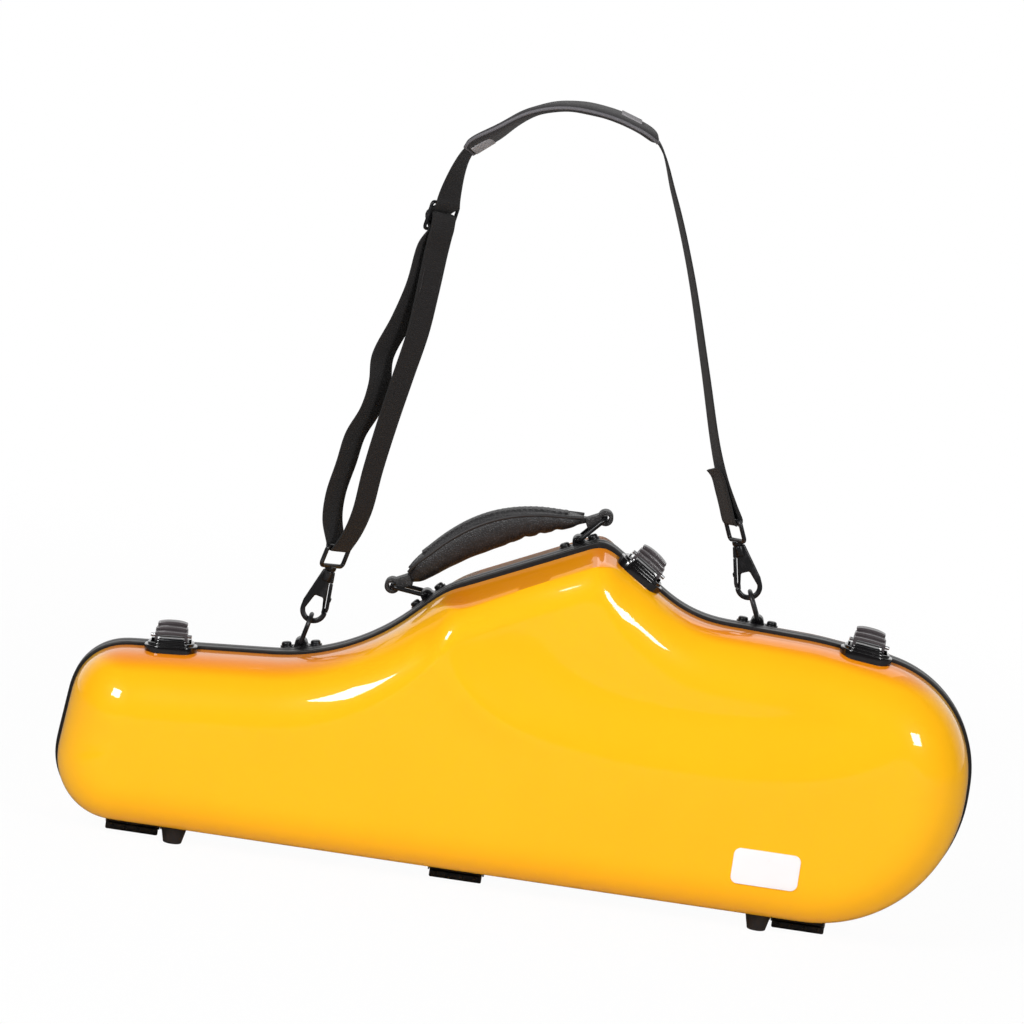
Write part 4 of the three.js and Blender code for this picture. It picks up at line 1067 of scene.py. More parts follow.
@dataclass(frozen=True)
class Moulded:
    """Moulded plastic or rubber, with a fine grain and light scuffs."""

    name: str
    colour: Corner
    worn: Corner
    roughness: float
    grain: float = 1600.0
    depth: float = 0.00002
    coat: float = 0.0

    def build(self) -> bpy.types.Material:
        """Makes the material.

        Returns:
            The material.
        """
        paint = Paint(self.name)
        grain = paint.noise(self.grain, 3.0)
        scuff = paint.noise(120.0, 5.0, 0.65).between(0.58, 0.76)
        dust = paint.noise(30.0, 2.0).between(0.45, 0.8)
        return paint.done(
            Base_Color=paint.blend(scuff * 0.6 + dust * 0.25, self.colour, self.worn),
            Roughness=self.roughness + scuff * 0.12 + grain * 0.05,
            Coat_Weight=self.coat * (1.0 - scuff * 0.5),
            Coat_Roughness=0.08,
            Normal=paint.bump(grain, self.depth, 0.6),
        )


@dataclass(frozen=True)
class PaintedMetal:
    """Steel under black paint, rubbed through in specks."""

    name: str = "painted_metal"
    colour: Corner = (0.007, 0.007, 0.008)
    bare: Corner = (0.3, 0.3, 0.31)
    rubbed: Corner = (0.03, 0.03, 0.034)
    roughness: float = 0.3

    def build(self) -> bpy.types.Material:
        """Makes the material.

        Returns:
            The material.
        """
        paint = Paint(self.name)
        chips = paint.noise(420.0, 5.0, 0.6).between(0.715, 0.74)
        streak = paint.noise(90.0, 4.0).between(0.5, 0.75)
        ripple = paint.noise(900.0, 1.0)
        painted = paint.blend(streak, self.colour, self.rubbed)
        return paint.done(
            Base_Color=paint.blend(chips, painted, self.bare),
            Roughness=self.roughness + streak * 0.1,
            Metallic=0.25 + chips * 0.7,
            Normal=paint.bump(ripple, 0.00003, 0.5),
        )


@dataclass(frozen=True)
class BrushedSteel:
    """Bare steel pins, drawn along their length."""

    name: str = "brushed_steel"
    colour: Corner = (0.55, 0.55, 0.56)
    line: Corner = (0.42, 0.42, 0.43)
    stretch: Corner = (40.0, 2200.0, 2200.0)
    roughness: float = 0.28

    def build(self) -> bpy.types.Material:
        """Makes the material.

        Returns:
            The material.
        """
        paint = Paint(self.name)
        drawn = paint.node("Mapping", {"Vector": paint.place(), "Scale": self.stretch})
        lines = paint.noise(1.0, 3.0, 0.6, drawn)
        return paint.done(
            Base_Color=paint.blend(lines, self.colour, self.line),
            Roughness=self.roughness + lines * 0.15,
            Metallic=1.0,
            Normal=paint.bump(lines, 0.00002, 0.4),
        )


@dataclass(frozen=True)
class Leather:
    """Pebbled black leather."""

    name: str = "pebbled_leather"
    colour: Corner = (0.034, 0.032, 0.034)
    crease: Corner = (0.008, 0.0075, 0.008)
    roughness: float = 0.36
    pebbles: float = 620.0

    def build(self) -> bpy.types.Material:
        """Makes the material.

        Returns:
            The material.
        """
        paint = Paint(self.name)
        warp = paint.noise(260.0, 2.0)
        inputs = {"Vector": paint.place(), "Scale": self.pebbles}
        cells = paint.node("TexVoronoi", inputs, "Distance", feature="DISTANCE_TO_EDGE")
        pebble = cells.between(0.0, 0.32)
        pores = paint.noise(2400.0, 2.0)
        worn = warp.between(0.4, 0.8)
        height = pebble + pores * 0.15 + warp * 0.3
        return paint.done(
            Base_Color=paint.blend(pebble * 0.75 + worn * 0.25, self.crease, self.colour),
            Roughness=self.roughness + (1.0 - pebble) * 0.2,
            Normal=paint.bump(height, 0.00022, 0.7),
        )


@dataclass(frozen=True)
class Woven:
    """Woven cloth, drawn on the piece's own map in millimetres."""

    name: str
    colour: Corner
    dark: Corner
    pitch: float
    lean: float
    roughness: float = 0.85
    sheen: float = 0.08
    depth: float = 0.0003

    def build(self) -> bpy.types.Material:
        """Makes the material.

        Returns:
            The material.
        """
        paint = Paint(self.name)
        across, along = paint.sheet()
        warp = (across * (2 * math.pi / self.pitch)).math("SINE")
        zigzag = (across / (self.pitch * 4)).math("PINGPONG", 0.5)
        weft = ((along / self.pitch + zigzag * self.lean) * (2 * math.pi)).math("SINE")
        thread = (warp * 0.5 + 0.5) * 0.55 + (weft * 0.5 + 0.5) * 0.45
        fuzz = paint.noise(2600.0, 3.0)
        fade = paint.noise(22.0, 3.0)
        share = thread * 0.6 + fuzz * 0.3 + fade * 0.2
        return paint.done(
            Base_Color=paint.blend(share, self.dark, self.colour),
            Roughness=self.roughness - thread * 0.1,
            Sheen_Weight=self.sheen,
            Sheen_Roughness=0.6,
            Normal=paint.bump(thread + fuzz * 0.4, self.depth, 0.7),
        )


@dataclass(frozen=True)
class Plush:
    """Short-pile plush on foam."""

    name: str = "plush"
    colour: Corner = (0.035, 0.033, 0.04)
    dark: Corner = (0.01, 0.01, 0.013)

    def build(self) -> bpy.types.Material:
        """Makes the material.

        Returns:
            The material.
        """
        paint = Paint(self.name)
        pile = paint.noise(1300.0, 4.0, 0.7)
        brushed = paint.noise(28.0, 3.0)
        return paint.done(
            Base_Color=paint.blend(pile * 0.6 + brushed.between(0.3, 0.7) * 0.4, self.dark, self.colour),
            Roughness=0.9 + brushed * 0.1,
            Sheen_Weight=0.6,
            Sheen_Roughness=0.45,
            Normal=paint.bump(pile + brushed * 0.6, 0.0006, 0.7),
        )


class Slot(Enum):
    """The finishes, by the record's slot."""

    GELCOAT = "gelcoat"
    TRIM = "seam_trim"
    PLUSH = "plush"
    RUBBER = "rubber"
    STEEL = "steel"
    METAL = "black_metal"
    LATCH = "latch_black"
    LEATHER = "leather"
    WEBBING = "webbing"
    PAD = "pad_cloth"
    BADGE = "badge"


FINISHES: Dict[Slot, Any] = {
    Slot.GELCOAT: Gelcoat(),
    Slot.TRIM: Moulded("trim_plastic", (0.004, 0.0035, 0.004), (0.01, 0.009, 0.0095), 0.4),
    Slot.PLUSH: Plush(),
    Slot.RUBBER: Moulded("foot_rubber", (0.014, 0.011, 0.0105), (0.03, 0.026, 0.025), 0.6, 900.0, 0.00005),
    Slot.STEEL: BrushedSteel(),
    Slot.METAL: PaintedMetal(),
    Slot.LATCH: Moulded(
        "latch_plastic", (0.004, 0.0035, 0.004), (0.01, 0.009, 0.01), 0.16, 500.0, 0.00001, 0.8
    ),
    Slot.LEATHER: Leather(),
    Slot.WEBBING: Woven("strap_webbing", (0.012, 0.010, 0.0105), (0.002, 0.002, 0.002), 1.5, 1.0, 0.85, 0.04),
    Slot.PAD: Woven("pad_cloth", (0.03, 0.027, 0.03), (0.01, 0.009, 0.01), 0.9, 0.0, 0.9, 0.06, 0.00008),
    Slot.BADGE: Moulded("badge_face", (0.86, 0.84, 0.86), (0.78, 0.76, 0.77), 0.3, 300.0, 0.000005),
}
# The lever's black plastic, painted lighter than the base's as painted reflection of the white room on its
# plates; the scuffs are real wear.
LEVER_PAINTED_REFLECTION = Moulded("lever_plastic_painted_reflection", (0.055, 0.046, 0.049), (0.09, 0.078, 0.082), 0.26, 500.0, 0.00001, 0.6)
PAD_PIPING = Moulded("pad_piping", (0.11, 0.105, 0.115), (0.16, 0.155, 0.16), 0.6, 1800.0, 0.00005)
THREAD = Moulded("thread", (0.02, 0.018, 0.019), (0.04, 0.038, 0.039), 0.75, 3000.0, 0.00003)
TAB_CLOTH = Moulded("tab_cloth", (0.3, 0.29, 0.3), (0.24, 0.23, 0.24), 0.8, 900.0, 0.00003)
PIPING = Moulded("piping", (0.02, 0.019, 0.02), (0.045, 0.043, 0.045), 0.5, 1800.0, 0.00005)


class Shop:
    """Gives finished meshes their place, finish and body."""

    def __init__(self) -> None:
        """Reads the record's slots and makes the finishes once."""
        self.slots = {row["node"]: row["material_slot"] for row in frame["record"]["subparts"]}
        self.made: Dict[str, bpy.types.Material] = {}

    def material(self, finish: Any) -> bpy.types.Material:
        """The material of a finish, made once.

        Args:
            finish: the finish.

        Returns:
            Its material.
        """
        if finish.name not in self.made:
            self.made[finish.name] = finish.build()
        return self.made[finish.name]

    def fit(
        self,
        piece: Piece,
        node: str,
        where: Optional[Matrix] = None,
        smooth: float = 35.0,
        suffix: str = "finished",
        finish: Any = None,
    ) -> Piece:
        """Puts a piece in its place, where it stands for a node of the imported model.

        Args:
            piece: the piece, in millimetres in its own frame.
            node: the node that it stands for.
            where: its frame in the case.
            smooth: the angle under which its edges are shaded smooth, in degrees.
            suffix: what its name ends with.
            finish: its finish, where that isn't the slot's.

        Returns:
            The piece.
        """
        place = Matrix.Diagonal((MM, MM, MM, 1.0)) @ Matrix.Translation(SHIFT)
        if where is not None:
            place = place @ where
        piece.data.transform(place)
        piece.data.update()
        piece.name = f"{node}_{suffix}"
        piece.data.name = piece.name
        Bench.pick(piece)
        bpy.ops.object.shade_smooth_by_angle(angle=math.radians(smooth))
        slot = self.slots[node]
        piece.data.materials.clear()
        piece.data.materials.append(self.material(finish or FINISHES[Slot(slot)]))
        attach(piece, body_of(frame["nodes"][node])[0])
        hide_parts(node)
        LOG.info("%s: %d faces", piece.name, len(piece.data.polygons))
        return piece


SHOP = Shop()


# The case


@dataclass
class Shells:
    """The two moulded halves."""

    edge: float = SIZES.trim_half + SIZES.gap
    wall: float = SIZES.wall

    def build(self) -> None:
        """Makes the lid's and the base's skins."""
        SHOP.fit(self.skin(HalfForm(LID)), "front_shell", smooth=28.0)
        SHOP.fit(self.skin(HalfForm(BASE)), "rear_shell", smooth=28.0)

    def skin(self, form: HalfForm) -> Piece:
        """One half's skin, with its wall.

        Args:
            form: the half's outer form.

        Returns:
            The skin.
        """
        rings = form.rings(self.edge)
        patch, faces = form.face_patch(rings[-1])
        side = Bench.loft(rings, caps=False)
        face = Bench.mesh(patch, faces)
        shell = Bench.outward(Bench.join(side, face))
        outer = max(shell.data.polygons, key=lambda p: p.center.y * form.half.side)
        if outer.normal.y * form.half.side < 0:
            Bench.edit(shell, lambda: bpy.ops.mesh.flip_normals())
        return Bench.modify(shell, "SOLIDIFY", thickness=self.wall, offset=-1.0, use_rim=True)


@dataclass
class Trims:
    """The black seam trims, the base's one with a tongue."""

    proud: float = SIZES.trim_proud
    half: float = SIZES.trim_half
    bite: float = 4.2
    parting: float = 0.15
    tongue: float = 1.8
    tongue_gap: float = 1.0
    tongue_rise: float = 4.0
    round: float = 0.8

    def build(self) -> None:
        """Makes both trims."""
        inner = -self.bite
        front = self.rounded(inner, -self.half, self.proud, -self.parting)
        SHOP.fit(self.swept(front), "front_seam_trim")
        tongue_out = inner - self.tongue_gap
        tongue_in = tongue_out - self.tongue
        rear = [
            (tongue_in, -self.tongue_rise),
            (tongue_out, -self.tongue_rise),
            (tongue_out, self.parting),
        ]
        rear += self.rounded(tongue_out, self.parting, self.proud, self.half)[1:-1]
        rear += [(tongue_in, self.half)]
        SHOP.fit(self.swept(rear), "rear_seam_trim")

    def rounded(self, inner: float, low: float, outer: float, high: float) -> List:
        """A bar's section, its two outer corners round.

        Args:
            inner: its inner side.
            low: its lower face.
            outer: its outer side.
            high: its upper face.

        Returns:
            The section's points.
        """
        points = [(inner, low)]
        points += arc((outer - self.round, low + self.round), self.round, -math.pi / 2, 0.0, 4)
        points += arc((outer - self.round, high - self.round), self.round, 0.0, math.pi / 2, 4)
        return points + [(inner, high)]

    @staticmethod
    def swept(section: Sequence[Tuple[float, float]]) -> Piece:
        """A section run round the seam.

        Args:
            section: the section, outwards and in Y.

        Returns:
            The ring.
        """
        rings = []
        for at, normal in zip(FINE_AT, FINE_NORMAL):
            rings.append([(at[0] + normal[0] * s, y, at[1] + normal[1] * s) for s, y in section])
        return Bench.outward(Bench.loft(rings, endless=True))


@dataclass
class Linings:
    """The plush-covered foam inside both halves."""

    voxel: float = 3.6
    quick_share: float = 1.6
    rounds: int = 6

    def build(self) -> None:
        """Makes both linings from their solids, softened."""
        for node in ("front_lining", "rear_lining"):
            piece = self.softened(node)
            piece.name = f"{node}_finished"

    def softened(self, node: str) -> Piece:
        """A node's solid, remeshed and with soft edges.

        Args:
            node: the node.

        Returns:
            The lining.
        """
        source = frame["nodes"][node]
        data = source.data.copy()
        data.transform(Matrix.Translation(-SHIFT) @ Matrix.Diagonal((1 / MM, 1 / MM, 1 / MM, 1.0)))
        data.materials.clear()
        piece = bpy.data.objects.new(node, data)
        bpy.context.collection.objects.link(piece)
        Bench.outward(piece)
        size = self.voxel * 1.0
        Bench.modify(piece, "REMESH", mode="VOXEL", voxel_size=size)
        Bench.modify(piece, "SMOOTH", factor=0.5, iterations=self.rounds)
        return SHOP.fit(piece, node, smooth=80.0)


@dataclass
class Feet:
    """The four tapered rubber feet."""

    top_radius: float = 11.6
    bottom_radius: float = 6.6
    shares: Tuple[float, float] = (-0.358, 0.294)
    edge: float = 0.9
    sole_rim: float = 2.2
    sole_depth: float = 1.2
    rows: Dict[str, Tuple[float, float]] = named(front=(-30.0, 13.0), rear=(44.0, 15.4))

    def build(self) -> None:
        """Makes the feet."""
        full = SIZES.seam_height + self.top_radius
        for row, (y, height) in self.rows.items():
            for hand, share in zip(HANDS, self.shares):
                at = (share * SIZES.length, y, 0.0)
                top = self.bottom_radius + (self.top_radius - self.bottom_radius) * height / full
                foot = Bench.rod("z", (0.0, height), self.bottom_radius, 40, top, at)
                Bench.edit(foot, lambda: self.hollow(foot))
                SHOP.fit(Bench.bevel(foot, self.edge, 3), f"{row}_foot_{hand}")

    def hollow(self, foot: Piece) -> None:
        """Sinks the sole of a foot in edit mode by a shallow dish.

        Args:
            foot: the foot.
        """
        bpy.ops.mesh.select_all(action="DESELECT")
        mesh = bmesh.from_edit_mesh(foot.data)
        for face in mesh.faces:
            face.select = face.normal.z < -0.9
        bmesh.update_edit_mesh(foot.data)
        bpy.ops.mesh.inset(thickness=self.sole_rim)
        bpy.ops.mesh.extrude_region_move(TRANSFORM_OT_translate={"value": (0, 0, self.sole_depth)})
        bpy.ops.mesh.select_all(action="SELECT")


@dataclass
class Hinges:
    """The three hinges under the seam."""

    length: float = 38.0
    knuckles: int = 5
    knuckle_radius: float = 3.0
    bore: float = 1.7
    pin_radius: float = 1.4
    head_radius: float = 2.5
    head_length: float = 1.2
    reach: float = 22.0
    plate: float = 1.6
    corner: float = 2.0
    edge: float = 0.35
    web: float = 3.6
    seat_inset: float = 0.6
    seat_corner: float = 1.6
    seat_sink: float = 0.5
    seat_rises: Tuple[float, float] = (2.6, 3.2)
    rivet_radius: float = 2.4
    rivet_rise: float = 0.9
    rivet_spacing: float = 24.0
    rivet_place: float = 15.0
    socket_radius: float = 1.0
    socket_depth: float = 0.45
    apron_height: float = 5.9
    apron_corner: float = 0.8
    screws: int = 4
    screw_radius: float = 1.7
    screw_rise: float = 0.8
    screw_share: float = 0.45
    slot_half: float = 0.25

    @property
    def top(self) -> float:
        """The height of the leaves' upper faces."""
        return SIZES.seam_height - SIZES.trim_proud - SIZES.gap

    def build(self) -> None:
        """Makes the leaves and pins."""
        for place, share in HINGE_PLACES.items():
            where = Matrix.Translation((share * SIZES.length, 0.0, 0.0))
            SHOP.fit(self.leaf(1.0), f"hinge_{place}_rear_leaf", where)
            SHOP.fit(self.leaf(-1.0), f"hinge_{place}_front_leaf", where)
            SHOP.fit(self.pin(), f"hinge_{place}_pin", where)

    def leaf(self, side: float) -> Piece:
        """One leaf: a plate on its seat, its knuckles and two rivets.

        Args:
            side: 1 for the base's leaf and -1 for the lid's.

        Returns:
            The leaf.
        """
        low, far = self.top - self.plate, side * self.reach
        near = side * (self.knuckle_radius + 2 * SIZES.gap)
        plate = self.slab(0.0, (near, far), self.corner, low, self.top)
        near, far = side * (SIZES.trim_half + 2 * SIZES.gap), side * (self.reach - self.seat_inset)
        high = self.top + self.seat_rises[side > 0]
        seat = self.slab(self.seat_inset, (near, far), self.seat_corner, self.top - self.seat_sink, high)
        parts = [Bench.bevel(plate, self.edge, 2), seat]
        pitch = self.length / self.knuckles
        for k in range(1 if side < 0 else 0, self.knuckles, 2):
            start = k * pitch - self.length / 2
            parts.append(self.knuckle(side, start + SIZES.gap / 2, start + pitch - SIZES.gap / 2))
        if side < 0:
            parts += self.apron()
        for hand in (-1, 1):
            at = (hand * self.rivet_spacing / 2, side * self.rivet_place, 0.0)
            face = low - self.rivet_rise
            head = Bench.bevel(Bench.rod("z", (face, self.top), self.rivet_radius, 32, at=at), 0.5, 3)
            socket = Bench.rod("z", (face - OVER, low - self.socket_depth), self.socket_radius, 6, at=at)
            parts.append(Bench.bevel(Bench.cut(head, socket), 0.1, 1))
        return Bench.join(*parts)

    def slab(self, inset: float, ends: Sequence[float], corner: float, low: float, high: float) -> Piece:
        """A plate with round corners, as long as the hinge.

        Args:
            inset: how much shorter it is at each end.
            ends: the two places in Y that it lies between.
            corner: its corners' radius.
            low: the height of its lower face.
            high: the height of its upper face.

        Returns:
            The plate.
        """
        half = self.length / 2 - inset
        near, far = sorted(ends)
        return Bench.prism(rounded_rectangle((-half, near), (half, far), corner), "z", low, high)

    def apron(self) -> List[Piece]:
        """The front leaf's turned-down edge, and its screws' heads.

        Returns:
            The edge and the heads.
        """
        half, far, low = self.length / 2, self.reach, self.top - self.apron_height
        outline = [(-half, self.top), (-half, low + self.apron_corner), (self.apron_corner - half, low)]
        outline += [(-a, b) for a, b in reversed(outline)]
        made = [Bench.bevel(Bench.prism(outline, "y", -far, self.plate - far), self.edge, 2)]
        z, rise, reach = low + self.apron_height * self.screw_share, self.screw_rise, self.screw_radius + OVER
        for k in range(self.screws):
            x = (k + 0.5) * self.length / self.screws - half
            head = Bench.rod("y", (-far - rise, rise / 2 - far), self.screw_radius, 24, at=(x, 0.0, z))
            corner = Vector((reach, 0.0, self.slot_half))
            start, end = Vector((x, -far - reach, z)) - corner, Vector((x, -far - rise / 2, z)) + corner
            made.append(Bench.cut(Bench.bevel(head, self.edge, 2), Bench.box(start, end)))
        return made

    def knuckle(self, side: float, start: float, end: float) -> Piece:
        """One knuckle, rolled up from the plate, with the pin's bore.

        Args:
            side: its leaf's side.
            start: where it starts along the pin.
            end: where it ends.

        Returns:
            The knuckle.
        """
        at = (0, 0, HINGE_AXIS_HEIGHT)
        barrel = Bench.rod("x", (start, end), self.knuckle_radius, 32, at=at)
        low, high = sorted((0.0, side * (self.knuckle_radius + self.web)))
        web = Bench.box((start, low, self.top - self.plate), (end, high, self.top))
        made = Bench.unite(barrel, web)
        bore = Bench.rod("x", (start - OVER, end + OVER), self.bore, 24, at=at)
        return Bench.bevel(Bench.cut(made, bore), 0.2, 2, 50.0)

    def pin(self) -> Piece:
        """The pin with its two riveted heads.

        Returns:
            The pin.
        """
        end = self.length / 2 + SIZES.gap
        at = (0, 0, HINGE_AXIS_HEIGHT)
        parts = [Bench.rod("x", (-end, end), self.pin_radius, 24, at=at)]
        for hand in (-1, 1):
            low, high = sorted((hand * end, hand * (end + self.head_length)))
            parts.append(Bench.bevel(Bench.rod("x", (low, high), self.head_radius, 32, at=at), 0.5, 3))
        return Bench.join(*parts)


@dataclass
class Latches:
    """The three draw latches, each drawn in its own frame on the seam."""

    shares: Dict[str, float] = named(left=-0.39, middle=0.1085, right=0.368)
    half_width: float = 19.0
    front: float = 28.0
    back: float = 3.2
    corner: float = 11.0
    plate: float = 3.4
    sink: float = 4.4
    tiers: int = 3
    tier_edge: float = 0.75
    tier_rise: float = 1.9
    tier_inset: float = 2.3
    well_half: float = 12.2
    well_front: float = 22.5
    pivot_back: float = 18.0
    pivot_height: float = 10.0
    drop: float = 4.2
    claw_fore: float = 0.3
    ear_top: float = 12.6
    ear_fore: float = 4.0
    ear_edge: float = 1.5
    trim_space: float = 5.1
    pin_radius: float = 1.3
    bore: float = 1.6
    cheek: float = 1.8
    lever_half: float = 11.6
    lever_end: float = 3.0
    lever_height: float = 18.5
    lever_plate: float = 2.0
    lever_arch: float = 1.6
    arch_power: float = 2.6
    arch_inside: float = 0.8
    steps: int = 3
    step_rise: float = 1.0
    claw_half: float = 8.6
    claw_plate: float = 1.8
    claw_knuckle: float = 1.9
    hook_drop: float = 2.3
    hook_thick: float = 1.8
    keeper_front: float = 8.7
    keeper_back: float = 20.0
    keeper_half: float = 11.0
    keeper_plate: float = 1.7
    keeper_corner: float = 2.4
    keeper_sink: float = 4.2
    keeper_rivet: float = 1.9
    keeper_rivet_rise: float = 0.7
    keeper_rivet_places: Tuple[float, float] = (6.5, 16.4)
    lip_place: float = 10.6
    lip: float = 1.6
    lip_top: float = 4.1
    lip_corner: float = 1.2

    @property
    def pivot(self) -> Tuple[float, float]:
        """The lever's pivot, in Y and Z."""
        return -self.pivot_back, self.pivot_height

    @property
    def claw_pin(self) -> Tuple[float, float]:
        """The claw's pin, in Y and Z."""
        return -self.pivot_back + self.claw_fore, self.pivot_height - self.drop

    def build(self) -> None:
        """Makes each latch."""
        for place, share in self.shares.items():
            where = seam_frame(share)
            SHOP.fit(self.base(), f"latch_{place}_base", where)
            # The lever's finish carries painted reflection: a lighter black than the base's.
            SHOP.fit(self.lever(), f"latch_{place}_lever", where, finish=LEVER_PAINTED_REFLECTION)
            SHOP.fit(self.claw(), f"latch_{place}_claw", where)
            SHOP.fit(self.pin(), f"latch_{place}_pin", where)
            SHOP.fit(self.keeper(), f"latch_{place}_keeper", where)

    def base(self) -> Piece:
        """The stepped base with its two ears, well and channel.

        Returns:
            The base.
        """
        tiers = []
        for k in range(self.tiers + 1):
            inset = k * self.tier_inset
            half = self.half_width - inset
            low, high = (-half, -self.front + inset), (half, -self.back)
            outline = rounded_rectangle(low, high, self.corner - inset, 8)
            tier = Bench.prism(outline, "z", -self.sink, self.plate + k * self.tier_rise)
            tiers.append(Bench.bevel(tier, self.tier_edge, 3, 60.0))
        outer = self.half_width - 2 * self.tier_inset + SIZES.gap
        low, high = -self.pivot_back - self.ear_fore, -self.pivot_back + self.ear_fore
        ears = Bench.box((-outer, low, self.plate - 0.5), (outer, high, self.ear_top))
        made = Bench.unite(*tiers, Bench.bevel(ears, self.ear_edge, 4))
        reach = self.claw_knuckle + SIZES.gap
        floor = self.pivot_height - math.hypot(reach, self.drop + reach) - SIZES.gap
        low, high = (-self.well_half, -self.well_front, floor), (self.well_half, OVER, self.lever_height + 3)
        well = Bench.box(low, high)
        bore = Bench.rod("x", (-outer - 2, outer + 2), self.bore, 24, at=(0.0, *self.pivot))
        half = self.claw_half + SIZES.gap
        fore = -self.pivot_back - self.claw_knuckle - 2 * SIZES.gap
        low = self.pivot_height - self.drop - self.claw_knuckle - SIZES.gap
        channel = Bench.box((-half, fore, low), (half, 1.0, self.plate + 2))
        made = Bench.cut(made, well, bore, channel)
        wide, start = self.half_width + OVER, -self.back - self.trim_space
        space = Bench.box((-wide, start, -self.sink - OVER), (wide, OVER, SIZES.trim_proud + SIZES.gap))
        return Bench.bevel(Bench.cut(made, space), 0.25, 2, 70.0)

    def upper(self, y: float) -> float:
        """The height of the lever's upper face at a place along it.

        Args:
            y: the place.

        Returns:
            The height.
        """
        rise = self.lever_height - self.pivot_height - self.lever_plate
        run = self.pivot_back - self.lever_end
        return self.pivot_height + self.lever_plate + rise / run * (y + self.pivot_back)

    def lever(self) -> Piece:
        """The lever: three arched plates in steps, and two cheeks.

        Returns:
            The lever.
        """
        start, end = -self.pivot_back - self.claw_knuckle, -self.lever_end
        parts = []
        for k in range(self.steps):
            near, far = k / self.steps, min(1.0, (k + 1.25) / self.steps)
            rings = []
            for n in range(5):
                share = near + (far - near) * n / 4
                y = start + (end - start) * share
                level = self.upper(start + (end - start) * near) + self.step_rise * (1.0 + 0.55 * n / 4)
                half = self.lever_half - 0.5 * k
                arch = self.lever_arch * (0.25 + 0.75 * share)
                rings.append(self.lever_ring(y, level, half, arch))
            parts.append(Bench.bevel(Bench.outward(Bench.loft(rings)), 0.55, 3, 50.0))
        for hand in (-1, 1):
            parts.append(self.cheek_plate(hand))
        return Bench.join(*parts)

    def lever_ring(self, y: float, level: float, half: float, arch: float) -> List:
        """One section of a lever's plate.

        Args:
            y: where it is.
            level: the height of its upper face's sides.
            half: its half width.
            arch: how much its middle is higher.

        Returns:
            The section's points.
        """
        shares = [-1.0 + n / 10 for n in range(21)]
        lifts = [arch * (1.0 - abs(a) ** self.arch_power) for a in shares]
        above = [(a * half, y, level + lift) for a, lift in zip(shares, lifts)]
        under = level - self.lever_plate
        below = [(a * half, y, under + lift * self.arch_inside) for a, lift in zip(shares, lifts)]
        return above + below[::-1]

    def cheek_plate(self, hand: int) -> Piece:
        """One cheek of the lever, with the bores of both pins.

        Args:
            hand: -1 for the left cheek and 1 for the right.

        Returns:
            The cheek.
        """
        reach = self.claw_knuckle + SIZES.gap
        (y, z), (claw_y, claw_z) = self.pivot, self.claw_pin
        outline = arc((claw_y, claw_z), reach, -math.pi, 0.0, 8)
        outline += [(y + 3 * reach, z), (y + 3 * reach, self.upper(y + 3 * reach) - 0.6)]
        outline += [(y - reach, self.upper(y - reach) - 0.6)]
        low, high = sorted((hand * (self.lever_half - self.cheek), hand * self.lever_half))
        plate = Bench.outward(Bench.loft([[(x, a, b) for a, b in outline] for x in (low, high)]))
        for pin in (self.pivot, self.claw_pin):
            Bench.cut(plate, Bench.rod("x", (low - OVER, high + OVER), self.bore, 20, at=(0, *pin)))
        return Bench.bevel(plate, 0.3, 2, 45.0)

    def claw(self) -> Piece:
        """The claw: a bent plate with a knuckle, a hooked end and its pin.

        Returns:
            The claw.
        """
        y, z = self.claw_pin
        lip = self.lip_place + self.lip + SIZES.gap
        low, high = z - self.claw_plate / 2, z + self.claw_plate / 2
        end = lip + self.hook_thick
        outline = [(y, low), (lip, low), (lip, low - self.hook_drop), (end, low - self.hook_drop)]
        outline += arc((end - 0.9, high - 0.9), 0.9, 0.0, math.pi / 2, 4) + [(y, high)]
        sides = (-self.claw_half, self.claw_half)
        arm = Bench.outward(Bench.loft([[(x, a, b) for a, b in outline] for x in sides]))
        knuckle = Bench.rod("x", sides, self.claw_knuckle, 28, at=(0, y, z))
        pin = Bench.rod("x", (-self.lever_half, self.lever_half), self.pin_radius, 24, at=(0, y, z))
        return Bench.join(Bench.bevel(Bench.unite(arm, knuckle), 0.3, 2, 45.0), pin)

    def pin(self) -> Piece:
        """The lever's pin, its ends domed.

        Returns:
            The pin.
        """
        end = self.half_width - 2 * self.tier_inset + SIZES.gap
        pin = Bench.rod("x", (-end, end), self.pin_radius, 28, at=(0.0, *self.pivot))
        return Bench.bevel(pin, 0.5, 3)

    def keeper(self) -> Piece:
        """The keeper: a plate on the base with an upturned lip and two rivets.

        Returns:
            The keeper.
        """
        low, high = (-self.keeper_half, self.keeper_front), (self.keeper_half, self.keeper_back)
        outline = rounded_rectangle(low, high, self.keeper_corner)
        plate = Bench.prism(outline, "z", -self.keeper_sink, self.keeper_plate)
        half, top, corner = self.claw_half - 0.5, self.lip_top, self.lip_corner
        outline = [(-half, 0), (half, 0), (half, top - corner), (half - corner, top)]
        outline += [(corner - half, top), (-half, top - corner)]
        lip = Bench.prism(outline, "y", self.lip_place, self.lip_place + self.lip)
        parts = [Bench.bevel(plate, 0.4, 2, 60.0), Bench.bevel(lip, 0.35, 2, 60.0)]
        x, y = self.keeper_rivet_places
        rise = self.keeper_plate + self.keeper_rivet_rise
        for hand in (-1, 1):
            head = Bench.rod("z", (0, rise), self.keeper_rivet, 24, at=(hand * x, y, 0))
            parts.append(Bench.bevel(head, 0.55, 3))
        return Bench.join(*parts)


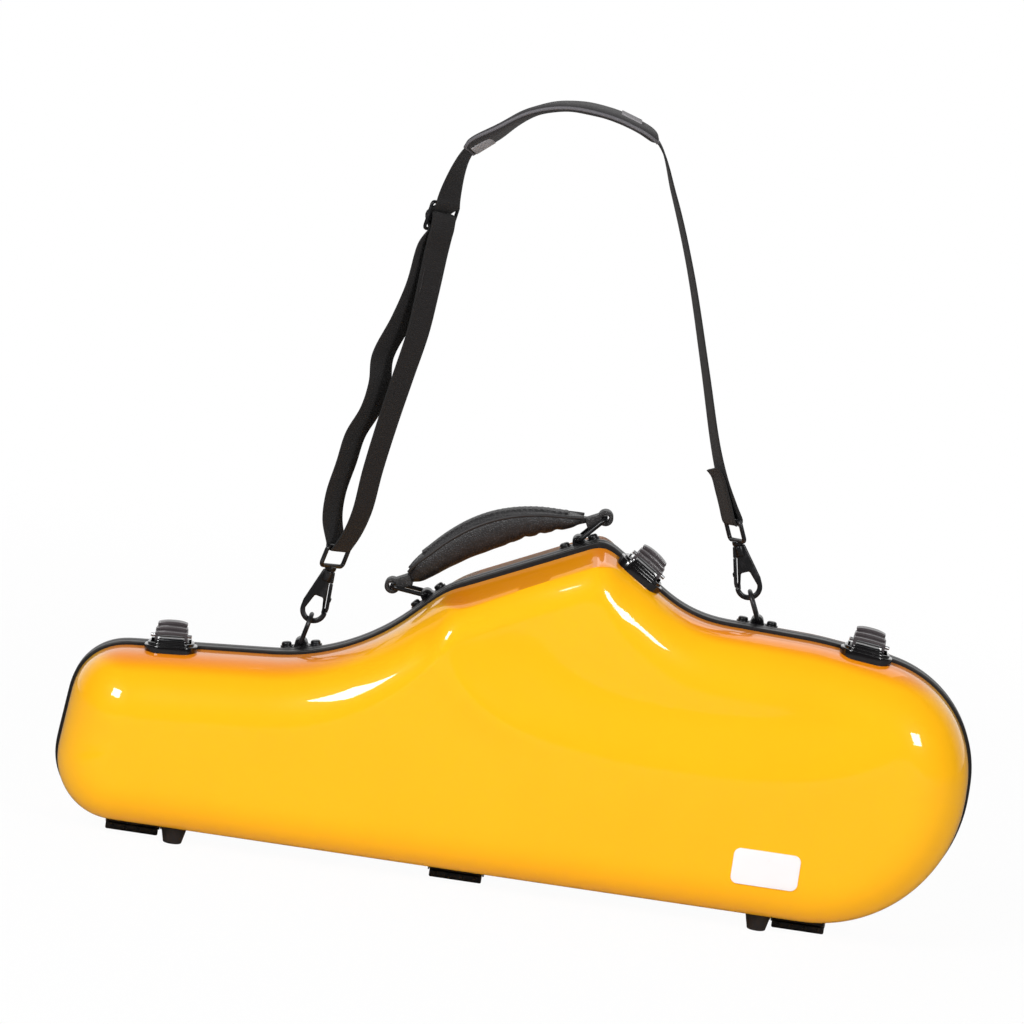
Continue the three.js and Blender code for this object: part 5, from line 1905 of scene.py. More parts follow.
@dataclass
class Brackets:
    """The riveted saddles that hold the handle's links and the strap's rings."""

    places: Dict[str, float] = named(
        handle_bracket_left=-0.1165,
        handle_bracket_right=0.0396,
        strap_anchor_left=-0.2492,
        strap_anchor_right=0.2465,
    )
    y: float = 15.0
    length: float = 30.0
    width: float = 12.0
    plate: float = 1.4
    sink: float = 4.2
    saddle_length: float = 9.0
    saddle_foot: float = 1.6
    saddle_height: float = 7.4
    tunnel_height: float = 4.0
    tunnel_radius: float = 1.95
    rivet_radius: float = 3.6
    rivet_height: float = 3.2
    rivet_spacing: float = 21.0

    def build(self) -> None:
        """Makes the four brackets."""
        for node, share in self.places.items():
            SHOP.fit(self.bracket(), node, seam_frame(share, self.y))

    def tunnel(self, node: str) -> Vector:
        """The middle of one bracket's tunnel, in the case's frame."""
        return seam_frame(self.places[node], self.y) @ Vector((0, 0, self.tunnel_height))

    def bracket(self) -> Piece:
        """A plate with round ends, a saddle over the wire and two domed rivets.

        Returns:
            The bracket.
        """
        half, across = self.length / 2, self.width / 2
        outline = rounded_rectangle((-half, -across), (half, across), across - 0.4, 8)
        plate = Bench.prism(outline, "z", -self.sink, self.plate)
        saddle_half = self.saddle_length / 2
        foot, side = saddle_half + self.saddle_foot, saddle_half + 0.2
        outline = [(-foot, 0), (foot, 0), (side, self.plate + 0.9)]
        outline += arc((0, self.saddle_height - saddle_half), saddle_half, 0.0, math.pi, 14)
        outline += [(-side, self.plate + 0.9)]
        saddle = Bench.prism(outline, "y", -across + 0.3, across - 0.3)
        made = Bench.unite(Bench.bevel(plate, 0.6, 3, 60.0), Bench.bevel(saddle, 0.6, 3, 50.0))
        at = (0, 0, self.tunnel_height)
        tunnel = Bench.rod("y", (-self.width, self.width), self.tunnel_radius, 28, at=at)
        parts = [Bench.bevel(Bench.cut(made, tunnel), 0.25, 2, 60.0)]
        for hand in (-1, 1):
            at = (hand * self.rivet_spacing / 2, 0, 0)
            washer = Bench.rod("z", (0, self.plate + 0.6), self.rivet_radius + 0.9, 32, at=at)
            head = Bench.rod("z", (0, self.plate + self.rivet_height), self.rivet_radius, 32, at=at)
            parts += [Bench.bevel(washer, 0.25, 2), Bench.bevel(head, 1.5, 5)]
        return Bench.join(*parts)


@dataclass(frozen=True)
class Wire:
    """Round wire bent into loops, drawn in Y and Z from its lower bar."""

    radius: float = 1.6

    def rectangle(self, width: float, height: float, corner: float) -> Piece:
        """A rectangular loop with round corners."""
        points = rounded_rectangle((-width / 2, 0.0), (width / 2, height), corner, 8)
        return Bench.tube([(0.0, a, b) for a, b in points], self.radius, True, 5)

    def dee(self, width: float, legs: float) -> Piece:
        """A loop with a flat bar, two legs and a half circle on top.

        Args:
            width: its width.
            legs: how long its legs are.

        Returns:
            The loop.
        """
        half, corner = width / 2, 2 * self.radius
        points = arc((half - corner, corner), corner, -math.pi / 2, 0, 8)
        points += arc((0, legs), half, 0, math.pi, 28)
        points += arc((corner - half, corner), corner, math.pi, 1.5 * math.pi, 8)
        return Bench.tube([(0.0, a, b) for a, b in points], self.radius, True, 5)


WIRE = Wire()
BRACKETS = Brackets()


@dataclass
class Handle:
    """The padded handle on its two wire links."""

    link_width: float = 19.0
    link_corner: float = 4.0
    links: Dict[str, Tuple[float, float]] = named(
        left=(25.0, math.radians(174.0)), right=(25.4, math.radians(47.7))
    )
    lobe_radius: float = 5.6
    lobe_width: float = 13.0
    lobe_bore: float = 2.7
    neck_start: float = 13.0
    neck_height: float = 8.0
    width: float = 29.0
    end_width: float = 14.0
    top: float = 27.4
    strip_width: float = 17.0
    strip_thick: float = 1.8
    end_close: float = 0.38
    end_fade: float = 0.04
    piping_radius: float = 1.15
    piping_place: Tuple[float, float] = (0.915, 0.872)
    stitch_pitch: float = 4.6
    stitch_inset: float = 1.9
    side_view: Tuple[Corner, ...] = (
        (0, -0.18, 0.26),
        (0.06, -0.15, 0.46),
        (0.14, -0.08, 0.61),
        (0.26, 0.02, 0.82),
        (0.39, 0.08, 0.965),
        (0.52, 0.11, 1),
        (0.65, 0.13, 0.915),
        (0.78, 0.085, 0.72),
        (0.9, 0.03, 0.445),
        (1, -0.04, 0.22),
    )
    strip_span: Tuple[float, float] = (0.11, 0.92)
    section: Tuple[Tuple[float, float], ...] = (
        (0, 1), (0.3, 0.995), (0.6, 0.98), (0.82, 0.94), (0.92, 0.9), (0.87, 0.865), (0.94, 0.82),
        (1, 0.66), (0.99, 0.46), (0.9, 0.27), (0.68, 0.11), (0.36, 0.02), (0, 0),
    )

    def build(self) -> None:
        """Makes the links, the lobes, the grip and its strip."""
        ends = {}
        for hand, (length, angle) in self.links.items():
            start = BRACKETS.tunnel(f"handle_bracket_{hand}")
            ends[hand] = start + Vector((math.cos(angle), 0, math.sin(angle))) * length
            loop = WIRE.rectangle(self.link_width, length, self.link_corner)
            SHOP.fit(loop, f"handle_link_{hand}", leaning_frame(start, angle))
        run = ends["right"] - ends["left"]
        length = run.length
        where = Matrix.Translation(ends["left"]) @ Matrix.Rotation(-math.atan2(run.z, run.x), 4, "Y")
        SHOP.fit(self.lobe(), "handle_lobe_left", where)
        far = where @ Matrix.Translation((length, 0, 0)) @ Matrix.Rotation(math.pi, 4, "Y")
        SHOP.fit(self.lobe(), "handle_lobe_right", far)
        grip = SHOP.fit(self.grip(length), "handle_grip", where, smooth=60.0)
        SHOP.fit(self.piping(length), "handle_grip", where, 60.0, "piping", PIPING)
        SHOP.fit(self.strip(length), "handle_stitched_strip", where, 60.0)
        SHOP.fit(self.stitches(length), "handle_stitched_strip", where, 60.0, "stitches", THREAD)

    def lobe(self) -> Piece:
        """A leather tab wrapped round the link's wire.

        Returns:
            The lobe.
        """
        neck = self.neck_height / 2
        meet = math.sqrt(self.lobe_radius**2 - neck**2)
        angle = math.atan2(neck, meet)
        outline = [(self.neck_start + 1.5, -neck), (self.neck_start + 1.5, neck)]
        outline += arc((0, 0), self.lobe_radius, angle, 2 * math.pi - angle, 30)
        half = self.lobe_width / 2
        made = Bench.bevel(Bench.prism(outline, "y", -half, half), 1.1, 4, 50.0)
        hole = Bench.rod("y", (-half - 1, half + 1), self.lobe_bore, 28)
        return Bench.bevel(Bench.cut(made, hole), 0.4, 2, 50.0)

    def along(self, length: float, share: float) -> float:
        """The place of a share of the grip's length."""
        return self.neck_start + (length - 2 * self.neck_start) * share

    def heights(self, share: float) -> List[float]:
        """The grip's lower and upper edges."""
        return [value * self.top for value in interpolated(self.side_view, share)]

    def half_width(self, share: float) -> float:
        """The grip's half width."""
        full = math.sqrt(max(0.0, 1.0 - (2 * share - 1) ** 4))
        return (self.end_width + (self.width - self.end_width) * full) / 2

    def grip(self, length: float) -> Piece:
        """The padded body: a crowned top over a belly, drawn in at the seam.

        Args:
            length: the grip's length.

        Returns:
            The grip.
        """
        outline = [Vector((a, b, 0)) for a, b in self.section]
        right = spline_through(outline, 0.045)
        loop = right + [Vector((-p.x, p.y, 0)) for p in reversed(right[1:-1])]
        rings = []
        for k in range(145):
            share = k / 144
            low, high = self.heights(share)
            half = self.half_width(share)
            close = 1.0 - self.end_close * math.exp(-((min(share, 1 - share) / self.end_fade) ** 2))
            middle = (low + high) / 2
            x = self.along(length, share)
            ring = []
            for p in loop:
                z = low + (high - low) * p.y
                sink = self.crease(share, p.y)
                up = middle + (z - middle) * close + sink * (1.0 - p.y)
                ring.append((x, p.x * (half * close - sink), up))
            rings.append(ring)
        return Bench.outward(Bench.loft(rings))

    @staticmethod
    def crease(share: float, up: float) -> float:
        """How deep the leather is drawn in where it creases over the belly.

        Args:
            share: the place along the grip.
            up: the place up its section.

        Returns:
            The depth.
        """
        right = min(1.0, max(0.0, (share - 0.45) / 0.25)) * min(1.0, (1.02 - share) / 0.08)
        lean = share - 0.05 * up
        fold = abs(math.sin(lean * 27.0 + 1.3 * math.sin(lean * 9.0))) ** 5
        soft = 0.25 * math.sin(lean * 31.0) * math.sin(lean * 12.0 + 0.6)
        inside = max(0.0, min(1.0, 6.0 * min(share, 1.0 - share)))
        return (1.0 - up) ** 0.7 * (1.15 * right * fold + soft * (up < 0.8) * inside)

    def piping(self, length: float) -> Piece:
        """The piping sewn in along both sides.

        Args:
            length: the grip's length.

        Returns:
            The piping.
        """
        parts = []
        aside, above = self.piping_place
        for hand in (-1, 1):
            points = []
            for k in range(61):
                share = 0.012 + 0.976 * k / 60
                low, high = self.heights(share)
                y = hand * self.half_width(share) * aside
                points.append((self.along(length, share), y, low + (high - low) * above))
            parts.append(Bench.tube(points, self.piping_radius, False, 3))
        return Bench.join(*parts)

    def strip(self, length: float) -> Piece:
        """The strip sewn on the grip's top.

        Args:
            length: the grip's length.

        Returns:
            The strip.
        """
        rings = []
        low, high = self.strip_span
        for k in range(49):
            share = low + (high - low) * k / 48
            x, base = self.along(length, share), self.heights(share)[1] + 0.1
            half = self.strip_width / 2 * (1.0 - 0.18 * max(0.0, abs(2 * k / 48 - 1) - 0.9) * 10)
            ring = []
            for n in range(13):
                across = -1 + n / 6
                sag = 1.5 * across * across
                ring.append((x, across * half, base + self.strip_thick * (1 - 0.25 * abs(across) ** 6) - sag))
            for n in range(13):
                across = 1 - n / 6
                ring.append((x, across * half, base - 0.5 - 1.5 * across * across))
            rings.append(ring)
        return Bench.bevel(Bench.outward(Bench.loft(rings)), 0.35, 2, 50.0)

    def stitches(self, length: float) -> Piece:
        """The stitches along both edges of the strip.

        Args:
            length: the grip's length.

        Returns:
            The stitches.
        """
        seed = stitch(3.3, 0.42)
        moves = []
        low, high = self.strip_span
        steps = int((high - low) * length / self.stitch_pitch)
        for hand in (-1, 1):
            for k in range(steps):
                share = low + (high - low) * (k + 0.5) / steps
                x = self.along(length, share)
                z = self.heights(share)[1] + self.strip_thick - 1.05
                rise = self.heights(share + 0.01)[1] - self.heights(share - 0.01)[1]
                slope = math.atan2(rise, 0.02 * (length - 2 * self.neck_start))
                y = hand * (self.strip_width / 2 - self.stitch_inset)
                move = Matrix.Translation((x, y, z + 0.12))
                moves.append(move @ Matrix.Rotation(-slope, 4, "Y"))
        return Bench.copy(seed, moves)


def stitch(length: float, radius: float) -> Piece:
    """One stitch of thread along X, its ends drawn down.

    Args:
        length: its length.
        radius: the thread's radius.

    Returns:
        The stitch.
    """
    bpy.ops.object.select_all(action="DESELECT")
    bpy.ops.mesh.primitive_uv_sphere_add(segments=8, ring_count=5, radius=1.0, rotation=(0, math.pi / 2, 0))
    piece = bpy.context.object
    bpy.ops.object.transform_apply()
    piece.data.transform(Matrix.Diagonal((length / 2, radius, radius, 1.0)))
    for vertex in piece.data.vertices:
        vertex.co.z -= 0.35 * radius * (2 * vertex.co.x / length) ** 2
    return piece


@dataclass
class Hooks:
    """The strap's rings and its two snap hooks."""

    ring_width: float = 19.0
    ring_legs: float = 12.0
    leans: Dict[str, float] = named(left=math.radians(76.7), right=math.radians(114.0))
    angles: Dict[str, float] = named(left=math.radians(76.5), right=math.radians(112.2))
    turns: Dict[str, float] = named(left=math.radians(-31.0), right=math.radians(21.0))
    thick: float = 5.0
    clearance: float = 1.0
    bar: float = 4.6
    window_half: float = 6.2
    window_height: float = 17.0
    bar_side: float = 3.6
    neck_half: float = 4.4
    top: float = 34.5
    gate_thick: float = 2.6
    gate_top: float = 26.0
    gate_fit: float = 0.4
    nose_height: float = 1.5
    nub: float = 3.2
    nub_height: float = 5.0
    nub_share: float = 0.55
    post: float = 2.2
    post_bore: float = 2.6
    post_depth: float = 5.0
    boss: float = 4.1
    collar: float = 4.2
    collar_height: float = 3.4
    eye_width: float = 29.2
    eye_rise: float = 15.0
    eye_corner: float = 3.0

    def build(self) -> None:
        """Makes both rings, hooks, gates and eyes."""
        for hand in HANDS:
            anchor = BRACKETS.tunnel(f"strap_anchor_{hand}")
            ring = WIRE.dee(self.ring_width, self.ring_legs)
            SHOP.fit(ring, f"strap_ring_{hand}", leaning_frame(anchor, self.leans[hand]))
            top = self.ring_top(hand)
            where = leaning_frame(top, self.angles[hand], math.pi if hand == "left" else 0.0)
            SHOP.fit(self.body(), f"hook_{hand}_body", where)
            SHOP.fit(self.gate(), f"hook_{hand}_gate", where)
            where = leaning_frame(top, self.angles[hand], self.turns[hand])
            SHOP.fit(self.eye(), f"hook_{hand}_eye", where)

    def ring_top(self, hand: str) -> Vector:
        """The top of one ring's wire.

        Args:
            hand: left or right.

        Returns:
            The place.
        """
        lean = self.leans[hand]
        reach = self.ring_legs + self.ring_width / 2
        return BRACKETS.tunnel(f"strap_anchor_{hand}") + Vector((math.cos(lean), 0, math.sin(lean))) * reach

    def eye_place(self, hand: str) -> Vector:
        """The middle of the eye's bar that the webbing goes round.

        Args:
            hand: left or right.

        Returns:
            The place.
        """
        height = self.top + SIZES.gap + self.collar_height + self.eye_rise
        angle = self.angles[hand]
        return self.ring_top(hand) + Vector((math.cos(angle), 0, math.sin(angle))) * height

    @property
    def low(self) -> float:
        """The lowest place inside the hook."""
        return -WIRE.radius - self.clearance

    def side_at(self, z: float) -> float:
        """How far out the hook's side is at a height.

        Args:
            z: the height.

        Returns:
            The distance from the middle.
        """
        shoulder = self.low + self.window_half + self.bar
        share = max(0.0, (z - shoulder) / (self.top - shoulder))
        return (self.window_half + self.bar_side) * (1 - share) + self.neck_half * share

    def body(self) -> Piece:
        """The cast hook with its window, the gate's slot and the swivel's boss.

        Returns:
            The body.
        """
        middle = self.low + self.window_half
        outer = self.window_half + self.bar_side
        shoulder = middle + self.bar
        outline = [(-self.neck_half, self.top), (-outer, shoulder)]
        outline += arc((0, middle), outer, math.pi, 2 * math.pi, 26)
        outline += [(outer, shoulder), (self.neck_half, self.top)]
        half = self.thick / 2
        body = Bench.prism(outline, "y", -half, half)
        high = self.low + self.window_height
        window = [(-self.window_half, middle), (-self.window_half / 2, high), (self.window_half / 2, high)]
        window += arc((0, middle), self.window_half, 0.0, -math.pi, 22)[:-1]
        body = Bench.cut(body, Bench.prism(window, "y", -half - 1, half + 1))
        slot = Bench.prism(self.gate_outline(self.gate_fit, 2.0), "y", -half - 1, half + 1)
        body = Bench.bevel(Bench.cut(body, slot), 1.25, 4, 40.0)
        boss = Bench.rod("z", (self.gate_top + 2 * self.gate_fit, self.top), self.boss, 36)
        bore = Bench.rod("z", (self.top - self.post_depth, self.top + 1), self.post_bore, 28)
        return Bench.cut(Bench.unite(body, Bench.bevel(boss, 0.8, 3)), bore)

    def gate_outline(self, margin: float, outwards: float) -> List:
        """The gate's outline, grown by a margin inwards and another outwards.

        Args:
            margin: how far it grows inwards.
            outwards: how far it grows outwards.

        Returns:
            The outline's points.
        """
        low = self.low + self.window_half + self.nose_height
        shoulder = low - self.nose_height + self.bar
        heights = [low - margin, shoulder, self.gate_top + margin]
        inner = [(self.gate_thick + margin - self.side_at(z), z) for z in heights]
        outer = [(-outwards - self.side_at(z), z) for z in reversed(heights)]
        return inner + outer

    def gate(self) -> Piece:
        """The sprung gate with its thumb nub and pivot rivet.

        Returns:
            The gate.
        """
        half = self.thick / 2 - 0.5
        bar = Bench.bevel(Bench.prism(self.gate_outline(0, 0), "y", -half, half), 0.55, 3, 50.0)
        z = self.gate_top * self.nub_share
        x = -self.side_at(z)
        root, tip = x + self.gate_thick / 2, x - self.nub + self.gate_thick
        outline = [(root, z - self.nub_height / 2), (tip, z - self.nub_height / 4)]
        outline += [(tip, z + self.nub_height / 4), (root, z + self.nub_height / 2)]
        nub = Bench.bevel(Bench.prism(outline, "y", -half, half), 0.5, 3, 40.0)
        return Bench.join(bar, nub)

    def eye(self) -> Piece:
        """The swivel eye: a post, a collar and the loop that holds the webbing.

        Returns:
            The eye.
        """
        start = self.top + SIZES.gap
        end = start + self.collar_height
        post = Bench.rod("z", (self.top - self.post_depth + SIZES.gap, start + 0.5), self.post, 28)
        collar = Bench.bevel(Bench.rod("z", (start, end), self.collar, 36), 0.9, 4)
        loop = WIRE.rectangle(self.eye_width, self.eye_rise, self.eye_corner)
        loop.data.transform(Matrix.Translation((0, 0, end)))
        return Bench.join(post, collar, loop)


HOOKS = Hooks()


@dataclass(frozen=True)
class Station:
    """A place along the webbing and the direction of its width."""

    at: Vector
    wide: Vector


@dataclass
class Strap:
    """The webbing, its slider and the shoulder pad, along one route in the plane of the hooks."""

    width: float = 25.0
    thick: float = 1.6
    pad_width: float = 50.0
    pad_end: float = 0.66
    pad_thick: float = 7.0
    pad_left: Tuple[float, float] = (-94.5, 519.0)
    pad_right: Tuple[float, float] = (38.0, 546.0)
    tab_half: Corner = (8.0, 13.0, 0.6)
    tab_places: Tuple[int, int] = (11, -6)
    slider_turn: float = math.radians(-40.0)
    ply_turn: float = math.radians(8.0)
    top_turn: float = 0.0
    pad_turn: float = math.radians(19.0)
    fold_radius: float = 2.9
    slider_place: Tuple[float, float] = (0.832, 0.012)
    slider_half: float = 15.8
    slider_pitch: float = 10.0
    slider_bar: float = 1.3
    slider_fit: float = 0.4
    rear_ply: Tuple[Tuple[float, float], ...] = (
        (0.06, 0.036), (0.12, 0.047), (0.2, 0.046), (0.27, 0.046), (0.34, 0.03),
        (0.41, 0.03), (0.47, 0.042), (0.57, 0.025), (0.66, 0.016), (0.76, 0.018),
    )
    front_ply: Tuple[Tuple[float, float], ...] = (
        (0.04, -0.02), (0.1, -0.026), (0.2, -0.02), (0.32, -0.018),
        (0.44, -0.019), (0.55, -0.02), (0.65, -0.012), (0.75, -0.002),
    )
    tail: Tuple[Tuple[float, float], ...] = ((0.142, 0.026), (0.12, 0.016), (0.08, 0.013), (0.04, 0.011))
    right_ply: Tuple[Tuple[float, float], ...] = (
        (0.04, -0.003), (0.1, 0.004), (0.15, 0.006), (0.22, 0.005),
        (0.4, -0.006), (0.66, -0.018), (0.86, -0.014),
    )
    over_pad: Tuple[Tuple[float, float], ...] = (
        (0.15, -0.116), (0.32, -0.185), (0.49, -0.213), (0.66, -0.187), (0.83, -0.1),
    )

    def build(self) -> None:
        """Makes the webbing with its stitches, the slider and the pad."""
        stations, marks = self.stations()
        fine, places = self.refined(stations)
        SHOP.fit(self.ribbon(fine), "strap_webbing", smooth=60.0)
        SHOP.fit(self.sewing(fine), "strap_webbing", None, 60.0, "stitches", THREAD)
        SHOP.fit(self.slider(), "strap_slider", self.slider_frame())
        self.pad(fine, places, marks)

    @staticmethod
    def eye(hand: str) -> Vector:
        """The middle of one eye's bar, in the seam's plane."""
        place = HOOKS.eye_place(hand)
        return Vector((place.x, place.z))

    @staticmethod
    def route(start: Vector, end: Vector, shares: Sequence[Tuple[float, float]]) -> List[Vector]:
        """Points given as shares of a straight line, and of the step to its left.

        Args:
            start: the line's start.
            end: its end.
            shares: the shares.

        Returns:
            The points.
        """
        run = end - start
        left = Vector((-run.y, run.x))
        return [start + run * along + left * aside for along, aside in shares]

    @staticmethod
    def wide_along(run: Vector, turn: float) -> Vector:
        """The width's direction where the webbing runs along a line, turned out of Y."""
        right = Vector((run.y, 0, -run.x)).normalized()
        return Vector((0, math.cos(turn), 0)) - right * math.sin(turn)

    def ply(self, points: Sequence[Vector], start: float, end: float, bend: float = 1.0) -> List[Station]:
        """Stations along points, while the turn goes from one angle to another.

        Args:
            points: where it runs.
            start: the turn at its start.
            end: the turn at its end.
            bend: how late the turn comes.

        Returns:
            The stations.
        """
        made = []
        for i, p in enumerate(points):
            run = points[min(len(points) - 1, i + 1)] - points[max(0, i - 1)]
            turn = start + (end - start) * (i / max(1, len(points) - 1)) ** bend
            made.append(Station(Vector((p.x, BRACKETS.y, p.y)), self.wide_along(run, turn)))
        return made

    def fold(self, hand: str) -> List[Station]:
        """Stations half round an eye's bar, from its left side under it to its right.

        Args:
            hand: left or right.

        Returns:
            The stations.
        """
        angle = HOOKS.angles[hand]
        up = Vector((math.cos(angle), 0, math.sin(angle)))
        wide = self.wide_along(Vector((math.cos(angle), math.sin(angle))), HOOKS.turns[hand])
        right = wide.cross(up)
        eye = self.eye(hand)
        middle = Vector((eye.x, BRACKETS.y, eye.y))
        made = []
        for k in range(7):
            turn = math.pi * (1 - k / 6)
            at = middle + right * self.fold_radius * math.cos(turn) - up * self.fold_radius * math.sin(turn)
            made.append(Station(at, wide))
        return made

    def slider_frame(self) -> Matrix:
        """The slider's frame: X across the thickness, Y along the width, Z up the strap.

        Returns:
            The frame.
        """
        eye, end = self.eye("left"), Vector(self.pad_left)
        centre = self.route(eye, end, [self.slider_place])[0]
        run = (end - eye).normalized()
        wide = self.wide_along(run, self.slider_turn)
        up = Vector((run.x, 0, run.y))
        across = wide.cross(up)
        made = Matrix((across, wide, up)).transposed().to_4x4()
        return Matrix.Translation((centre.x, BRACKETS.y, centre.y)) @ made

    def slider_routes(self) -> Tuple[List, List]:
        """Where the long ply winds past the slider's bars, and where the short one ends.

        Returns:
            Both routes, in the slider's frame.
        """
        near = self.slider_bar + self.slider_fit + self.thick / 2
        far = near + self.thick + self.slider_fit
        cross = math.asin((near + far) / self.slider_pitch)
        slant = math.asin((far - near) / self.slider_pitch)
        pitch = self.slider_pitch
        long = arc((0, pitch), near, cross, -cross, 3)
        long += arc((0, 0), far, math.pi - cross, math.pi + cross, 4)
        long += arc((0, -pitch), near, cross, -cross, 3)
        short = arc((0, -pitch), far, -slant, slant, 1) + arc((0, 0), near, slant, 1.15 * math.pi, 5)
        return long, short

    def stations(self) -> Tuple[List[Station], Tuple[int, int]]:
        """All stations from the right tail to the short ply's end, and the pad's first and last.

        Returns:
            The stations, and the pad's first and last.
        """
        left_eye, right_eye = self.eye("left"), self.eye("right")
        pad_left, pad_right = Vector(self.pad_left), Vector(self.pad_right)
        where = self.slider_frame()
        wide = where.to_3x3() @ Vector((0, 1, 0))
        long, short = self.slider_routes()

        def at_slider(points: Sequence[Tuple[float, float]]) -> List[Station]:
            """Stations drawn in the slider's frame."""
            return [Station(where @ Vector((x, 0, z)), wide) for x, z in points]

        eye_turn = HOOKS.turns["right"]
        rise = self.ply(self.route(right_eye, pad_right, self.tail), -eye_turn, -eye_turn)
        rise += self.fold("right")
        rise += self.ply(self.route(right_eye, pad_right, self.right_ply), eye_turn, self.ply_turn)
        middle = [pad_right] + self.route(pad_right, pad_left, self.over_pad) + [pad_left]
        over = self.ply(middle, self.top_turn, self.pad_turn, 3.0)
        rear = list(reversed(self.route(left_eye, pad_left, self.rear_ply)))
        front = self.route(left_eye, pad_left, self.front_ply)
        low = HOOKS.turns["left"]
        made = rise + over + at_slider(long) + self.ply(rear, -self.slider_turn, -low)
        made += self.fold("left") + self.ply(front, low, self.slider_turn) + at_slider(short)
        return made, (len(rise) - 1, len(rise) + len(over))

    @staticmethod
    def refined(stations: Sequence[Station]) -> Tuple[List[Tuple[Vector, Vector, Vector]], List[float]]:
        """Fine stations with place, width and depth directions, and where the coarse ones lie.

        Args:
            stations: the coarse stations.

        Returns:
            The fine stations, and the coarse ones' places among them.
        """
        joined = [Vector((*s.at, *(s.wide * 40.0))) for s in stations]
        fine = spline_through(joined, 2.2)
        made = []
        for i, p in enumerate(fine):
            before, after = fine[max(0, i - 1)], fine[min(len(fine) - 1, i + 1)]
            run = Vector(after[:3]) - Vector(before[:3])
            wide = Vector(p[3:6]).normalized()
            made.append((Vector(p[:3]), wide, wide.cross(run).normalized()))
        places = []
        cursor = 0
        for s in stations:
            ahead = range(cursor, min(len(made), cursor + 160))
            cursor = min(ahead, key=lambda i: (made[i][0] - s.at).length)
            places.append(cursor)
        return made, places

    def ribbon(self, fine: Sequence[Tuple[Vector, Vector, Vector]]) -> Piece:
        """The webbing, with its map in millimetres.

        Args:
            fine: the fine stations.

        Returns:
            The webbing.
        """
        half, deep = self.width / 2, self.thick / 2
        section = [(-1 + n / 5, 1.0) for n in range(11)] + [(1 - n / 5, -1.0) for n in range(11)]
        rings = []
        for at, wide, depth in fine:
            ring = []
            for a, b in section:
                thin = 1.0 - 0.45 * abs(a) ** 8
                ring.append(at + wide * a * half + depth * b * deep * thin)
            rings.append(ring)
        piece = Bench.loft(rings)
        self.map_cloth(piece, rings, section, half)
        Bench.edit(piece, lambda: bpy.ops.mesh.normals_make_consistent(inside=False))
        return piece

    @staticmethod
    def map_cloth(piece: Piece, rings: Sequence, section: Sequence, half: float) -> None:
        """Writes a piece's map: across and along, in millimetres.

        Args:
            piece: the piece.
            rings: its rings of points.
            section: its section.
            half: its half width.
        """
        count = len(section)
        along = [0.0]
        for a, b in zip(rings, rings[1:]):
            along.append(along[-1] + (Vector(b[count // 4]) - Vector(a[count // 4])).length)
        layer = piece.data.uv_layers.new(name="cloth")
        for loop in piece.data.loops:
            r, i = divmod(loop.vertex_index, count)
            layer.data[loop.index].uv = (section[i][0] * half, along[r])

    def sewing(self, fine: Sequence[Tuple[Vector, Vector, Vector]]) -> Piece:
        """Rows of stitches where the webbing is sewn on itself: the tail and the slider's end.

        Args:
            fine: the fine stations.

        Returns:
            The stitches.
        """
        seed = stitch(2.7, 0.34)
        moves = []
        for first, last in ((3, 22), (len(fine) - 30, len(fine) - 22)):
            for i in range(first, last):
                if 0 <= i < len(fine):
                    moves += self.row(fine[i], across=False)
            for i in (first, last - 1):
                moves += self.row(fine[i], across=True)
        return Bench.copy(seed, moves)

    def row(self, station: Tuple[Vector, Vector, Vector], across: bool) -> List[Matrix]:
        """Places of the stitches at one station, on both faces.

        Args:
            station: the station.
            across: whether the row runs across the webbing.

        Returns:
            The stitches' frames.
        """
        at, wide, deep = station
        run = wide.cross(deep)
        offsets = [-9.0 + 3.6 * n for n in range(6)] if across else [-9.6, 9.6]
        made = []
        for face in (-1, 1):
            for step in offsets:
                x = wide if across else run
                z = deep * face
                y = z.cross(x)
                turn = Matrix((x, y, z)).transposed().to_4x4()
                made.append(Matrix.Translation(at + wide * step + z * (self.thick / 2 + 0.02)) @ turn)
        return made

    def slider(self) -> Piece:
        """The three-bar slider.

        Returns:
            The slider.
        """
        half, pitch, bar = self.slider_half, self.slider_pitch, self.slider_bar
        points = [(0.0, a, b) for a, b in rounded_rectangle((1.2 - half, -pitch), (half - 1.2, pitch), 2.2)]
        ring = Bench.tube(points, bar, True, 4)
        middle = Bench.rod("y", (1.2 - half, half - 1.2), bar, 24)
        return Bench.join(ring, middle)

    def pad(self, fine: Sequence, places: Sequence[int], marks: Tuple[int, int]) -> None:
        """The shoulder pad that the webbing runs through, its piping and its tabs.

        Args:
            fine: the fine stations.
            places: the coarse stations' places among them.
            marks: the pad's first and last.
        """
        first, last = places[marks[0] + 1], places[marks[1] - 1]
        span = fine[first : last + 1]
        outline = [(1.0, 0.0), (0.985, 0.3), (0.9, 0.62), (0.7, 0.9), (0.4, 0.99), (0.0, 1.0)]
        right = spline_through([Vector((a, b, 0)) for a, b in outline], 0.09)
        upper = [(p.x, p.y) for p in right] + [(-p.x, p.y) for p in reversed(right[:-1])]
        section = upper + [(a, -b) for a, b in reversed(upper[1:-1])]
        rings = []
        edge: Dict[int, List[Vector]] = {-1: [], 1: []}
        for i, (at, wide, deep) in enumerate(span):
            share = i / (len(span) - 1)
            fade = min(share, 1 - share) / 0.05
            close = 1.0 if fade >= 1 else 0.35 + 0.65 * math.sqrt(max(0.0, 1 - (1 - fade) ** 2))
            half = self.pad_width / 2 * (1 + (self.pad_end - 1) * (2 * share - 1) ** 6)
            swell = 1.0 + 0.05 * math.sin(share * 31.0) * math.sin(share * 9.0 + 1.0)
            half *= 0.8 + 0.2 * close
            deep_half = self.pad_thick / 2 * close * swell
            rings.append([at + wide * a * half + deep * b * deep_half for a, b in section])
            for hand in (-1, 1):
                edge[hand].append(at + wide * hand * (half - 0.2))
        pad = Bench.loft(rings)
